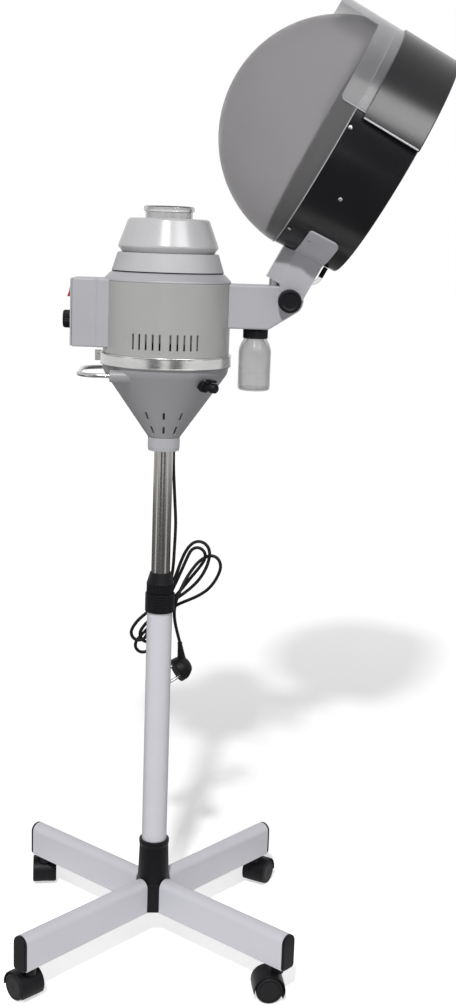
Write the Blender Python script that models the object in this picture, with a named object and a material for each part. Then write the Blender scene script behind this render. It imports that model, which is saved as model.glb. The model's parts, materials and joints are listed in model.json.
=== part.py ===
"""Hair steamer: a boiler head with a tilting hood, on a rolling stand of adjustable height.

Metres, +Z up. Heights in the stand are measured from the floor, those in the head from the bottom of its
collar. The root empty lowers everything, so that the origin is the middle of the hub's underside, on the
stand's axis. +X runs along the steam arm, from the boiler to the hood.
"""

import math

import bmesh
import bpy
from mathutils import Matrix, Vector

# Fits and facets
GAP = 0.0003
MERGE = 0.000001
PAST = 0.01
HOOD_SIDES = 48
BIG_SIDES = 36
MID_SIDES = 24
SMALL_SIDES = 16
WHEEL_SIDES = 20
PIN_SIDES = 12

# Legs, hub and stand tube
LEG_BOTTOM = 0.052
LEG_HEIGHT = 0.053
LEG_WIDTH = 0.025
LEG_WALL = 0.0018
LEG_REACH = 0.272
LEG_FIRST_ANGLE = 45.0
BASE_TURN = 2.6
LEG_CAP_LENGTH = 0.004
LEG_CAP_PLUG = 0.008
LEG_CAP_BEVEL = 0.0025
HUB_HALF = 0.025
HUB_FLOOR = 0.006
HUB_SHOULDER = 0.046
HUB_HEIGHT = 0.114
HUB_WALL = 0.003
HUB_LIP = 0.0008
TUBE_RADIUS = 0.019
TUBE_WALL = 0.0015
TUBE_TOP = 0.556

# Casters
WHEEL_RADIUS = 0.020
WHEEL_WIDTH = 0.013
WHEEL_EDGE = 0.0025
AXLE_RADIUS = 0.004
CASTER_INSET = 0.020
CASTER_TRAIL = 0.013
CASTER_WEB = 0.012
FENDER_CLEARANCE = 0.0015
FENDER_WALL = 0.002
FENDER_LOW = -8.0
FENDER_HIGH = 188.0
BOSS_RADIUS = 0.009
BOSS_BOTTOM = 0.0400
STEM_RADIUS = 0.005
STEM_LENGTH = 0.024
CASTER_TURNS = {"front_right": -175.0, "rear_right": 60.0, "rear_left": 95.0, "front_left": 134.0}

# Twist lock between the stand tube and the mast
SOCKET_RADIUS = 0.0222
SOCKET_BOTTOM = 0.530
SOCKET_LEDGE = 0.002
NECK_WALL = 0.0011
NECK_HEIGHT = 0.014
NUT_RADIUS = 0.0204
NUT_STRAIGHT = 0.0146
NUT_CONE = 0.017
NUT_CONE_BORE = 0.012
NUT_MOUTH_WALL = 0.0013
COLLET_WALL = 0.0027
COLLET_BOTTOM = 0.512

# Mast
MAST_RADIUS = 0.014
MAST_WALL = 0.0012
MAST_BOTTOM = 0.250

# Head: collar and funnel
HEAD_HEIGHT = 0.774
COLLAR_RADIUS = 0.0235
COLLAR_HEIGHT = 0.020
COLLAR_SLEEVE_WALL = 0.0057
COLLAR_SLEEVE_TOP = 0.056
COLLAR_CROWN = 0.004
BODY_RADIUS = 0.091
BODY_WALL = 0.0022
CONE_TOP = 0.1145
CONE_STEP = 0.0015
CONE_STEP_RISE = 0.0065
FUNNEL_SKIRT = 0.0126
CONE_TOP_RADIUS = BODY_RADIUS - CONE_STEP
CONE_SHOULDER = CONE_TOP + CONE_STEP_RISE
BODY_SEAM = CONE_SHOULDER + FUNNEL_SKIRT
CONE_SLOT_HEIGHTS = (0.033, 0.055)
CONE_SLOT_LENGTH = 0.014
CONE_SLOT_WIDTH = 0.0032
CONE_SLOT_ANGLES = (-30.5, 0.0, 30.5)

# Clamp band and main housing
BAND_WIDTH = 0.017
BAND_THICKNESS = 0.0035
HOUSING_HEIGHT = 0.1104
HOUSING_TOP = BODY_SEAM + HOUSING_HEIGHT
HOUSING_LIP = 0.009
HOUSING_LIP_DEPTH = 0.002
VENT_RISE = 0.0184
VENT_HEIGHT = 0.022
VENT_BOTTOM = BODY_SEAM + VENT_RISE
VENT_TOP = VENT_BOTTOM + VENT_HEIGHT
VENT_WIDTH = 0.0027
VENT_FIRST = 4.65
VENT_PITCH = 6.2
VENT_COUNT = 5

# Boiler
POT_CLEARANCE = 0.0188
POT_WALL = 0.002
POT_DEPTH = 0.084
POT_FLANGE = 0.002
POT_FLANGE_INSET = 0.0055
POT_RADIUS = BODY_RADIUS - BODY_WALL - POT_CLEARANCE
POT_BOTTOM = HOUSING_TOP - POT_DEPTH
POT_FLANGE_RADIUS = BODY_RADIUS - POT_FLANGE_INSET
HEATER_INSET = 0.025
HEATER_RING = POT_RADIUS - HEATER_INSET
HEATER_RADIUS = 0.004
HEATER_PIN_RADIUS = 0.003
HEATER_RISE = 0.016
HEATER_PIN_DROP = 0.012

# Shoulder, ring, shroud and jar on top
SHOULDER_HEIGHT = 0.013
SHOULDER_INSET = 0.011
SHOULDER_TOP_RADIUS = BODY_RADIUS - SHOULDER_INSET
SHOULDER_PLATE = 0.0022
SHOULDER_HOLE = 0.030
RING_FOOT = 0.0009
RING_FOOT_INSET = 0.003
RING_HEIGHT = 0.0255
RING_TAPER = 0.008
RING_TOP_RADIUS = SHOULDER_TOP_RADIUS - RING_TAPER
RING_WALL = 0.0022
SHROUD_FOOT_INSET = 0.0065
SHROUD_FLARE = 0.008
SHROUD_HEIGHT = 0.0475
SHROUD_TAPER = 0.0148
SHROUD_TOP_RADIUS = RING_TOP_RADIUS - SHROUD_TAPER
SHROUD_ROUND = 0.003
JAR_INSET = 0.020
JAR_RADIUS = RING_TOP_RADIUS - JAR_INSET
JAR_WALL = 0.003
JAR_BODY = 0.052
JAR_SHOULDER = 0.015
NECK_STEP = 0.0174
NECK_RADIUS = JAR_RADIUS - NECK_STEP
NECK_RISE = 0.0185
BEAD_PROUD = 0.0016
BEAD_RADIUS = NECK_RADIUS + BEAD_PROUD
BEAD_HEIGHT = 0.006

# Control box
BOX_REACH = 0.045
BOX_RISE = 0.0164
BOX_FRONT = BODY_RADIUS + BOX_REACH
BOX_BOTTOM = BODY_SEAM + BOX_RISE
BOX_HEIGHT = 0.096
BOX_WALL = 0.0024
PANEL_HALF = 0.036
FLARE_HALF = 0.062
FLARE_STEP = 0.010
FLARE_BACK = BODY_RADIUS + FLARE_STEP
PANEL_THICKNESS = 0.0023
PANEL_MARGIN = 0.001
ROCKER_DROP = 0.0203
ROCKER_HEIGHT = BOX_BOTTOM + BOX_HEIGHT - ROCKER_DROP
ROCKER_HALF = 0.0072
ROCKER_WIDTH = 0.0096
ROCKER_BACK = 0.0035
ROCKER_FLUSH = 0.0038
ROCKER_RIDGE = 0.0050
ROCKER_PROUD = 0.0078
ROCKER_PIVOT_DEPTH = 0.0008
BEZEL_RIM = 0.0030
BEZEL_PROUD = 0.0015
BEZEL_WALL = 0.0016
BEZEL_DEPTH = 0.0135
ROCKER_CLEARANCE = 0.0014
TIMER_BELOW = 0.0392
TIMER_HEIGHT = ROCKER_HEIGHT - TIMER_BELOW
TIMER_HALF = 0.020
TIMER_DEPTH = 0.033
TIMER_SHAFT_RADIUS = 0.003
TIMER_SHAFT_LENGTH = 0.011
KNOB_RADIUS = 0.0128
KNOB_DEPTH = 0.0125
KNOB_FRONT_RADIUS = 0.0112

# Pull handle
HANDLE_DROP = 0.002
HANDLE_HEIGHT = CONE_TOP - HANDLE_DROP
HANDLE_HALF = 0.064
HANDLE_PROUD = 0.032
HANDLE_REACH = BODY_RADIUS + HANDLE_PROUD
HANDLE_BEND = 0.030
HANDLE_ROD = 0.003
HANDLE_BOSS_RADIUS = 0.0085
HANDLE_BOSS_PROUD = 0.0165
HANDLE_BOSS_BITE = 0.0145
HANDLE_SOCKET = 0.012

# Drain tap on the funnel
TAP_DROP = 0.0125
TAP_HEIGHT = CONE_TOP - TAP_DROP
TAP_ANGLE = -52.0
TAP_STEM_RADIUS = 0.004
TAP_STEM_DEPTH = 0.016
TAP_FLANGE_RADIUS = 0.0078
TAP_FLANGE = 0.0085
TAP_BARREL_RADIUS = 0.005
TAP_BARREL_LENGTH = 0.012
TAP_TIP_RADIUS = 0.0068
TAP_TIP_EDGE = 0.0022
TAP_TIP_LENGTH = 0.0105
LEVER_RADIUS = 0.0045
LEVER_HEIGHT = 0.006
LEVER_LENGTH = 0.020
LEVER_WIDTH = 0.006
LEVER_THICKNESS = 0.0035

# Steam arm, pipe and condensate bottle
ARM_REACH = 0.0825
PIVOT_RISE = 0.0894
PIVOT_X = BODY_RADIUS + ARM_REACH
PIVOT_Z = BODY_SEAM + PIVOT_RISE
ARM_END_RADIUS = 0.0205
ARM_DROP = 0.042
ARM_BOTTOM = PIVOT_Z - ARM_DROP
ARM_CORNER_BACK = 0.028
ARM_CORNER_X = PIVOT_X - ARM_CORNER_BACK
ARM_HALF = 0.0248
ARM_WALL = 0.0026
ARM_ARC_START = -50.0
ARM_HOLLOW_BACK = 0.0075
ARM_SLOPE_BACK = 0.0035
ARM_HOLLOW_END = PIVOT_X - ARM_HOLLOW_BACK
ARM_SLOPE_START = ARM_CORNER_X - ARM_SLOPE_BACK
ARM_EDGE = 0.003
PIPE_RADIUS = 0.010
PIPE_WALL = 0.0018
PIPE_DROP = 0.011
PIPE_BACK = 0.0185
PIPE_HEIGHT = PIVOT_Z - PIPE_DROP
PIPE_RISE_X = PIVOT_X - PIPE_BACK
PIPE_BEND = 0.020
PIPE_ABOVE = 0.030
PIPE_TOP = PIVOT_Z + PIPE_ABOVE
CAP_BACK = 0.045
CAP_X = PIVOT_X - CAP_BACK
CAP_RADIUS = 0.018
CAP_HEIGHT = 0.0135
CAP_TOP_WALL = 0.0025
BOTTLE_RADIUS = 0.0235
BOTTLE_HEIGHT = 0.0752
BOTTLE_WALL = 0.0014
BOTTLE_NECK_RADIUS = 0.0135
BOTTLE_SHOULDER_RADIUS = 0.0165
BOTTLE_SHOULDER = 0.014
BOTTLE_EDGE = 0.004

# Tilt pivot
TILT_BOLT_RADIUS = 0.004
TILT_HEAD_RADIUS = 0.0075
TILT_HEAD = 0.005
TILT_KNOB_RADIUS = 0.0165
TILT_KNOB_DEPTH = 0.017
TILT_KNOB_EDGE = 0.0025
TILT_BOLT_INTO_KNOB = 0.012

# Hood, in its own frame: along X from the pivot to the opening, Z from the pivot to the hood's axis
HOOD_TILT = 27.9
DOME_RADIUS = 0.1665
HOOD_CLEARANCE = 0.061
HOOD_AXIS = DOME_RADIUS + HOOD_CLEARANCE
HOOD_RIM = 0.038
HOOD_SEAM = -0.060
SEAM_STEP = 0.001
SEAM_RADIUS = DOME_RADIUS - SEAM_STEP
BAND_TAPER = 0.006
RIM_RADIUS = SEAM_RADIUS - BAND_TAPER
RIM_ROUND = 0.002
RIM_LIP = 0.0045
HOOD_WALL = 0.0025
SKIRT_OVERLAP = 0.016
SKIRT_INSET = 0.0026
DOME_WALL = 0.0024
DOME_SETBACK = 0.0065
DOME_RINGS = 9
VISOR_GAP = 0.0007
VISOR_WALL = 0.0016
VISOR_FRONT = 0.034
VISOR_BACK = -0.058
VISOR_TAB_BACK = -0.150
VISOR_HALF_ANGLE = 79.5
VISOR_TAB_ANGLE = 30.0
COVER_GAP = 0.0009
COVER_WALL = 0.002
COVER_BACK = -0.040
COVER_HALF_ANGLE = 82.3
COVER_RAIL_ANGLE = 1.6
RAIL_GAP = 0.0005

# Yoke, steam nozzle and condensate drain of the hood
CHEEK_GAP = 0.0005
CHEEK_WALL = 0.003
CHEEK_FRONT = 0.016
CHEEK_BACK = -0.027
CHEEK_ROUND = 0.0165
YOKE_BACK = -0.044
YOKE_BACK_HALF = 0.012
YOKE_BACK_FOOT = 0.014
SADDLE_BACK = -0.029
SADDLE_FRONT = 0.017
SADDLE_WALL = 0.003
SADDLE_BITE = 0.001
SADDLE_HALF_ANGLE = 37.5
NOZZLE_X = -0.006
NOZZLE_RADIUS = 0.012
NOZZLE_WALL = 0.0022
NOZZLE_LENGTH = 0.030
NOZZLE_BELOW = 0.018
NIPPLE_X = 0.024
NIPPLE_RADIUS = 0.0035
NIPPLE_LENGTH = 0.016
HOSE_RADIUS = 0.003
HOSE_ROUTE = [
    (0.0, 0.0),
    (-0.0005, -0.0050),
    (-0.0040, -0.0100),
    (-0.0100, -0.0135),
    (-0.0180, -0.0160),
    (-0.0240, -0.0175),
]

# Cord, hank and plug, in the head's frame
CORD_RADIUS = 0.0025
GLAND_ANGLE = 61.76
GLAND_CLEARANCE = 0.00215
GLAND_BOTTOM = 0.003
GLAND_TOP = 0.041
GLAND_RADIUS = 0.005
GLAND_REACH = COLLAR_RADIUS + GLAND_RADIUS + GLAND_CLEARANCE
GLAND_X = GLAND_REACH * math.cos(math.radians(GLAND_ANGLE))
GLAND_Y = GLAND_REACH * math.sin(math.radians(GLAND_ANGLE))
GLAND_TIP_RADIUS = 0.0038
GLAND_STRAIGHT = 0.018
HANK_Y = 0.036
HANK_THICKNESS = 0.017
HANK_LOW = (-0.026, -0.298)
HANK_LOW_RADIUS = 0.017
HANK_HIGH = (0.050, -0.185)
HANK_HIGH_RADIUS = 0.042
HANK_ARC_STEPS = 9
DROP_MIDDLE = [
    (0.0146, 0.0272, -0.012),
    (0.0153, 0.0278, -0.036),
    (0.0184, 0.0294, -0.083),
    (0.0205, 0.0318, -0.110),
    (0.0203, 0.0344, -0.131),
]
DROP_END_X = 0.0196
TAIL_START_X = 0.0200
TAIL_OFFSET = 0.0012
TAIL_BOW = 0.0024
PLUG_TOP = (0.0312, -0.303)
PLUG_X = 0.024
PLUG_Z = -0.343
PLUG_RADIUS = 0.0185
PLUG_STRAIGHT = 0.010
PLUG_LENGTH = 0.025
PLUG_BACK_RADIUS = 0.009
PLUG_RELIEF_RADIUS = 0.0036
PLUG_RELIEF_WIDE = 0.0064
PIN_RADIUS = 0.0024
PIN_LENGTH = 0.019
PIN_SPREAD = 0.0095
PIN_TURN = 35.0

# Colours, roughness and metallic value of each finish
FINISHES = {
    "white_paint": ((0.78, 0.78, 0.82), 0.35, 0.0),
    "black_plastic": ((0.030, 0.029, 0.033), 0.42, 0.0),
    "black_gloss": ((0.014, 0.013, 0.016), 0.18, 0.0),
    "dark_rubber": ((0.020, 0.020, 0.021), 0.60, 0.0),
    "chrome": ((0.62, 0.62, 0.63), 0.10, 1.0),
    "steel": ((0.60, 0.60, 0.60), 0.28, 1.0),
    "aluminium": ((0.68, 0.68, 0.69), 0.38, 1.0),
    "funnel_grey": ((0.215, 0.210, 0.223), 0.40, 0.0),
    "housing_grey": ((0.375, 0.380, 0.368), 0.34, 0.0),
    "light_grey": ((0.415, 0.415, 0.445), 0.38, 0.0),
    "silver": ((0.500, 0.500, 0.510), 0.30, 0.35),
    "pearl": ((0.640, 0.640, 0.655), 0.28, 0.0),
    "smoke": ((0.240, 0.235, 0.235), 0.12, 0.0),
    "clear": ((0.700, 0.705, 0.715), 0.08, 0.0),
    "red": ((0.420, 0.025, 0.025), 0.30, 0.0),
}


def clear_scene():
    for obj in list(bpy.data.objects):
        bpy.data.objects.remove(obj, do_unlink=True)


def empty(name, parent=None, place=(0, 0, 0), turn=(0, 0, 0)):
    obj = bpy.data.objects.new(name, None)
    obj.location = place
    obj.rotation_euler = [math.radians(angle) for angle in turn]
    obj.parent = parent
    bpy.context.scene.collection.objects.link(obj)
    return obj


def finish_material(node, finish):
    colour, roughness, metallic = FINISHES[finish]
    material = bpy.data.materials.new(node)
    material.use_nodes = True
    shader = material.node_tree.nodes["Principled BSDF"]
    shader.inputs["Base Color"].default_value = (*colour, 1.0)
    shader.inputs["Roughness"].default_value = roughness
    shader.inputs["Metallic"].default_value = metallic
    return material


def put(name, data, parent, finish):
    """Links a mesh or curve as an object. Without a finish it is a cutter or a tool, left out of the part."""
    obj = bpy.data.objects.new(name, data)
    obj.parent = parent
    bpy.context.scene.collection.objects.link(obj)
    if finish:
        data.materials.append(finish_material(name, finish))
    else:
        obj.hide_render = True
        obj.display_type = "WIRE"
    return obj


def solid(name, bm, parent, finish, frame=None):
    bmesh.ops.remove_doubles(bm, verts=bm.verts, dist=MERGE)
    bmesh.ops.recalc_face_normals(bm, faces=bm.faces)
    if frame is not None:
        bmesh.ops.transform(bm, matrix=frame, verts=bm.verts)
    mesh = bpy.data.meshes.new(name)
    bm.to_mesh(mesh)
    bm.free()
    mesh.shade_smooth()
    mesh.set_sharp_from_angle(angle=math.radians(30))
    return put(name, mesh, parent, finish)


def boolean(obj, tool, operation):
    modifier = obj.modifiers.new(tool.name, "BOOLEAN")
    modifier.operation = operation
    modifier.object = tool
    modifier.solver = "EXACT"


def carve(obj, *tools):
    for tool in tools:
        boolean(obj, tool, "DIFFERENCE")


def weld(obj, *tools):
    for tool in tools:
        boolean(obj, tool, "UNION")


def soften(obj, width, segments=1, limit=40):
    modifier = obj.modifiers.new("edges", "BEVEL")
    modifier.width = width
    modifier.segments = segments
    modifier.limit_method = "ANGLE"
    modifier.angle_limit = math.radians(limit)


def lathe(name, outline, parent, finish, sides=MID_SIDES, frame=None):
    """Spins an outline of (radius, height) points round Z. It is a closed ring, or ends on the axis."""
    bm = bmesh.new()
    points = [bm.verts.new((radius, 0, height)) for radius, height in outline]
    on_axis = outline[0][0] == 0 and outline[-1][0] == 0
    pairs = list(zip(points, points[1:]))
    if not on_axis:
        pairs.append((points[-1], points[0]))
    edges = [bm.edges.new(pair) for pair in pairs]
    bmesh.ops.spin(
        bm, geom=points + edges, cent=(0, 0, 0), axis=(0, 0, 1), dvec=(0, 0, 0),
        angle=2 * math.pi, steps=sides, use_merge=True, use_duplicate=False,
    )
    return solid(name, bm, parent, finish, frame)


def prism(name, outline, low, high, parent, finish, frame=None):
    """Extrudes a flat outline of (x, y) points from height low to height high."""
    bm = bmesh.new()
    face = bm.faces.new([bm.verts.new((x, y, low)) for x, y in outline])
    grown = bmesh.ops.extrude_face_region(bm, geom=[face])
    moved = [item for item in grown["geom"] if isinstance(item, bmesh.types.BMVert)]
    bmesh.ops.translate(bm, verts=moved, vec=(0, 0, high - low))
    return solid(name, bm, parent, finish, frame)


def box(name, low, high, parent, finish, frame=None):
    outline = [(low[0], low[1]), (high[0], low[1]), (high[0], high[1]), (low[0], high[1])]
    return prism(name, outline, low[2], high[2], parent, finish, frame)


def rod(name, radius, low, high, parent, finish, frame=None, sides=SMALL_SIDES):
    return lathe(name, [(0, high), (radius, high), (radius, low), (0, low)], parent, finish, sides, frame)


def loft(name, sections, parent, finish, frame=None):
    """Joins outlines of as many (x, y, z) points each, one after the other, into one closed solid."""
    bm = bmesh.new()
    loops = [[bm.verts.new(point) for point in section] for section in sections]
    count = len(loops[0])
    for one, two in zip(loops, loops[1:]):
        for k in range(count):
            after = (k + 1) % count
            bm.faces.new((one[k], one[after], two[after], two[k]))
    bm.faces.new(loops[0])
    bm.faces.new(loops[-1])
    return solid(name, bm, parent, finish, frame)


def arc(centre, radius, start, end, steps):
    """Points on a circle between two angles in degrees, both ends included."""
    angles = [math.radians(start + (end - start) * k / steps) for k in range(steps + 1)]
    return [(centre[0] + radius * math.cos(a), centre[1] + radius * math.sin(a)) for a in angles]


def both_sides(points):
    """Closes a half outline of (x, y) points with its mirror image across the X axis."""
    return points[::-1] + [(x, -y) for x, y in points]


def smooth_path(points, per_span):
    """Points along a Catmull-Rom curve through the given ones."""
    path = [Vector(p) for p in points]
    ends = [2 * path[0] - path[1]] + path + [2 * path[-1] - path[-2]]
    made = []
    for a, b, c, d in zip(ends, ends[1:], ends[2:], ends[3:]):
        for k in range(per_span):
            t = k / per_span
            bend = (2 * a - 5 * b + 4 * c - d) * t**2 + (3 * b - a - 3 * c + d) * t**3
            made.append((2 * b + (c - a) * t + bend) / 2)
    return made + [path[-1]]


def wire(name, points, radius, parent, finish, resolution=2):
    """A round rod or cord along a path."""
    curve = bpy.data.curves.new(name, "CURVE")
    curve.dimensions = "3D"
    curve.bevel_depth = radius
    curve.bevel_resolution = resolution
    curve.use_fill_caps = True
    spline = curve.splines.new("POLY")
    spline.points.add(len(points) - 1)
    for target, point in zip(spline.points, points):
        target.co = (*point, 1)
    return put(name, curve, parent, finish)


def pipe(name, path, radius, wall, parent, finish, sides=SMALL_SIDES):
    """A hollow pipe along a path in the XZ plane, open at both ends."""
    bm = bmesh.new()
    rings = []
    for k, point in enumerate(path):
        before = Vector(path[max(k - 1, 0)])
        after = Vector(path[min(k + 1, len(path) - 1)])
        along = (after - before).normalized()
        across = along.cross(Vector((0, 1, 0))).normalized()
        pair = []
        for r in (radius, radius - wall):
            turn = [2 * math.pi * s / sides for s in range(sides)]
            pair.append([
                bm.verts.new(Vector(point) + r * (math.cos(a) * across + math.sin(a) * Vector((0, 1, 0))))
                for a in turn
            ])
        rings.append(pair)
    strips = [(rings[k][side], rings[k + 1][side]) for k in range(len(rings) - 1) for side in (0, 1)]
    strips += [(rings[end][0], rings[end][1]) for end in (0, -1)]
    for one, two in strips:
        for s in range(sides):
            after = (s + 1) % sides
            bm.faces.new((one[s], one[after], two[after], two[s]))
    return solid(name, bm, parent, finish)


def along_x(x=0.0, y=0.0, z=0.0):
    """A frame that turns a lathe's axis from Z to X and puts it at a place."""
    return Matrix.Translation((x, y, z)) @ Matrix.Rotation(math.radians(90), 4, "Y")


def along_y(x=0.0, y=0.0, z=0.0):
    """A frame that turns a lathe's axis from Z to -Y and puts it at a place."""
    return Matrix.Translation((x, y, z)) @ Matrix.Rotation(math.radians(90), 4, "X")


def leg_section(grow):
    """Half-round topped section of a leg, as (across, up) points, grown outwards by an amount."""
    half = LEG_WIDTH / 2 + grow
    crown = LEG_BOTTOM + LEG_HEIGHT - LEG_WIDTH / 2
    bottom = LEG_BOTTOM - grow
    return [(-half, bottom), (half, bottom)] + arc((0, crown), half, 0, 180, 8)


def build_base(root):
    base = empty("base", root, turn=(0, 0, BASE_TURN))
    build_hub(base)
    section_frame = Matrix.Rotation(math.radians(90), 4, "Z") @ Matrix.Rotation(math.radians(90), 4, "X")
    stem_reach = LEG_REACH - CASTER_INSET
    for k, name in enumerate(CASTER_TURNS):
        angle = LEG_FIRST_ANGLE * (2 * k - 1)
        spoke = empty(f"spoke_{name}", base, turn=(0, 0, angle))
        cap_seat = LEG_REACH - LEG_CAP_LENGTH
        leg = prism(f"leg_{name}", leg_section(0), HUB_HALF + GAP, cap_seat - GAP, spoke, "white_paint",
                    section_frame)
        bore = prism(f"leg_bore_{name}", leg_section(-LEG_WALL), HUB_HALF - PAST, LEG_REACH, spoke, None,
                     section_frame)
        hole_frame = Matrix.Translation((stem_reach, 0, 0))
        hole = rod(f"leg_hole_{name}", STEM_RADIUS + GAP, LEG_BOTTOM - PAST, LEG_BOTTOM + PAST, spoke, None,
                   hole_frame)
        carve(leg, bore, hole)
        plug_grow = -LEG_WALL - GAP
        steps = [
            (plug_grow, cap_seat - LEG_CAP_PLUG),
            (plug_grow, cap_seat),
            (0, cap_seat),
            (0, LEG_REACH - LEG_CAP_BEVEL),
            (-LEG_CAP_BEVEL, LEG_REACH),
        ]
        sections = [[(*point, along) for point in leg_section(grow)] for grow, along in steps]
        loft(f"leg_cap_{name}", sections, spoke, "black_plastic", section_frame)
        build_caster(name, root, stem_reach, angle + BASE_TURN)


def build_hub(base):
    """Eight-sided core between the legs, with a round sleeve for the stand tube."""
    sleeve_bottom = LEG_BOTTOM + HUB_SHOULDER
    hub_top = LEG_BOTTOM + HUB_HEIGHT
    corner = HUB_HALF / math.cos(math.radians(22.5))
    bore_radius = TUBE_RADIUS + GAP
    eight_sides = arc((0, 0), corner, 22.5, 337.5, 7)
    core = prism("base_hub", eight_sides, LEG_BOTTOM, sleeve_bottom, base, "black_plastic")
    sleeve = lathe("hub_sleeve", [
        (0, hub_top),
        (bore_radius + HUB_WALL + HUB_LIP, hub_top),
        (bore_radius + HUB_WALL + HUB_LIP, hub_top - 2 * HUB_WALL),
        (bore_radius + HUB_WALL, hub_top - 3 * HUB_WALL),
        (HUB_HALF - HUB_LIP, sleeve_bottom),
        (HUB_HALF - HUB_LIP, sleeve_bottom - HUB_WALL),
        (0, sleeve_bottom - HUB_WALL),
    ], base, None)
    bore = rod("hub_bore", bore_radius, LEG_BOTTOM + HUB_FLOOR, hub_top + PAST, base, None, sides=MID_SIDES)
    weld(core, sleeve)
    carve(core, bore)


def build_caster(name, root, reach, angle):
    """Twin wheels under a fender. The empty stands on the swivel axis, on the floor."""
    place = Matrix.Rotation(math.radians(angle), 4, "Z") @ Vector((reach, 0, 0))
    swivel = empty(f"swivel_{name}", root, place, (0, 0, CASTER_TURNS[name]))
    axle_frame = along_y(CASTER_TRAIL, 0, WHEEL_RADIUS)
    fender_radius = WHEEL_RADIUS + FENDER_CLEARANCE
    half_wide = CASTER_WEB / 2 + GAP + WHEEL_WIDTH
    shell = arc((0, 0), fender_radius + FENDER_WALL, FENDER_LOW, FENDER_HIGH, 11)
    shell += arc((0, 0), fender_radius, FENDER_HIGH, FENDER_LOW, 11)
    fender = prism(f"caster_fender_{name}", shell, -half_wide, half_wide, swivel, "black_plastic", axle_frame)
    web_outline = arc((0, 0), fender_radius + FENDER_WALL / 2, 0, 180, 10)
    web_outline += arc((0, 0), 2 * AXLE_RADIUS, 180, 360, 4)
    web = prism(f"caster_web_{name}", web_outline, -CASTER_WEB / 2, CASTER_WEB / 2, swivel, None, axle_frame)
    axle_hole = rod(f"axle_hole_{name}", AXLE_RADIUS + GAP, -CASTER_WEB, CASTER_WEB, swivel, None, axle_frame)
    stem = lathe(f"caster_stem_{name}", [
        (0, LEG_BOTTOM + STEM_LENGTH),
        (STEM_RADIUS, LEG_BOTTOM + STEM_LENGTH),
        (STEM_RADIUS, LEG_BOTTOM - GAP),
        (BOSS_RADIUS, LEG_BOTTOM - GAP),
        (BOSS_RADIUS, BOSS_BOTTOM),
        (0, BOSS_BOTTOM),
    ], swivel, None, SMALL_SIDES)
    weld(fender, web, stem)
    carve(fender, axle_hole)
    inner = CASTER_WEB / 2 + GAP
    outer = inner + WHEEL_WIDTH
    half = [
        (AXLE_RADIUS, inner),
        (WHEEL_RADIUS, inner),
        (WHEEL_RADIUS, outer - WHEEL_EDGE),
        (WHEEL_RADIUS - WHEEL_EDGE, outer),
    ]
    outline = [(0, outer)] + half[::-1] + [(r, -h) for r, h in half] + [(0, -outer)]
    flat_down = axle_frame @ Matrix.Rotation(math.pi / WHEEL_SIDES, 4, "Z")
    lathe(f"caster_wheels_{name}", outline, swivel, "dark_rubber", WHEEL_SIDES, flat_down)


def build_stand(root):
    bottom = LEG_BOTTOM + HUB_FLOOR + GAP
    inner = TUBE_RADIUS - TUBE_WALL
    lathe("stand_tube", [
        (inner, TUBE_TOP), (TUBE_RADIUS, TUBE_TOP), (TUBE_RADIUS, bottom), (inner, bottom),
    ], root, "white_paint")
    neck_bore = inner - GAP / 2
    neck_bottom = TUBE_TOP + GAP + SOCKET_LEDGE
    neck_top = neck_bottom + NECK_HEIGHT
    neck = neck_bore + NECK_WALL
    lathe("lock_socket", [
        (neck_bore, neck_top), (neck, neck_top), (neck, neck_bottom), (SOCKET_RADIUS, neck_bottom),
        (SOCKET_RADIUS, SOCKET_BOTTOM), (TUBE_RADIUS + GAP, SOCKET_BOTTOM),
        (TUBE_RADIUS + GAP, TUBE_TOP + GAP), (neck_bore, TUBE_TOP + GAP),
    ], root, "black_plastic")
    collet_bore = MAST_RADIUS + GAP
    collet = collet_bore + COLLET_WALL
    lathe("lock_collet", [
        (collet_bore, neck_top), (collet, neck_top), (collet, COLLET_BOTTOM), (collet_bore, COLLET_BOTTOM),
    ], root, "dark_rubber")
    nut_bottom = neck_bottom + GAP
    straight_top = nut_bottom + NUT_STRAIGHT
    nut_top = straight_top + NUT_CONE
    mouth = MAST_RADIUS + GAP
    lathe("lock_nut", [
        (mouth, nut_top), (mouth + NUT_MOUTH_WALL, nut_top), (NUT_RADIUS, straight_top),
        (NUT_RADIUS, nut_bottom), (neck + GAP, nut_bottom), (neck + GAP, straight_top),
        (mouth, straight_top + NUT_CONE_BORE),
    ], root, "black_plastic")


def build_mast(root):
    top = HEAD_HEIGHT + COLLAR_SLEEVE_TOP - COLLAR_CROWN - GAP
    inner = MAST_RADIUS - MAST_WALL
    lathe("mast_tube", [
        (inner, top), (MAST_RADIUS, top), (MAST_RADIUS, MAST_BOTTOM), (inner, MAST_BOTTOM),
    ], root, "chrome")


def cone_radius(height):
    """Outer radius of the funnel at a height above the collar."""
    slope = (CONE_TOP_RADIUS - COLLAR_RADIUS) / (CONE_TOP - COLLAR_HEIGHT)
    return COLLAR_RADIUS + (height - COLLAR_HEIGHT) * slope


def cone_frame(height, angle):
    """A frame on the funnel's surface: X out along the surface's normal, Z up its slope."""
    lean = math.atan2(CONE_TOP_RADIUS - COLLAR_RADIUS, CONE_TOP - COLLAR_HEIGHT)
    turned = Matrix.Rotation(math.radians(angle), 4, "Z")
    place = Matrix.Translation((cone_radius(height), 0, height))
    return turned @ place @ Matrix.Rotation(lean, 4, "Y")


def tap_frame():
    """Level frame of the drain tap, where the top of its flange just clears the funnel."""
    seat = cone_radius(TAP_HEIGHT + TAP_FLANGE_RADIUS) + GAP
    turned = Matrix.Rotation(math.radians(TAP_ANGLE), 4, "Z")
    return turned @ Matrix.Translation((seat, 0, TAP_HEIGHT))


def handle_boss_face():
    """How far out the funnel's surface lies where a handle boss meets it, and the boss's face."""
    surface = math.sqrt(cone_radius(HANDLE_HEIGHT) ** 2 - HANDLE_HALF ** 2)
    return surface, surface + HANDLE_BOSS_PROUD


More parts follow.
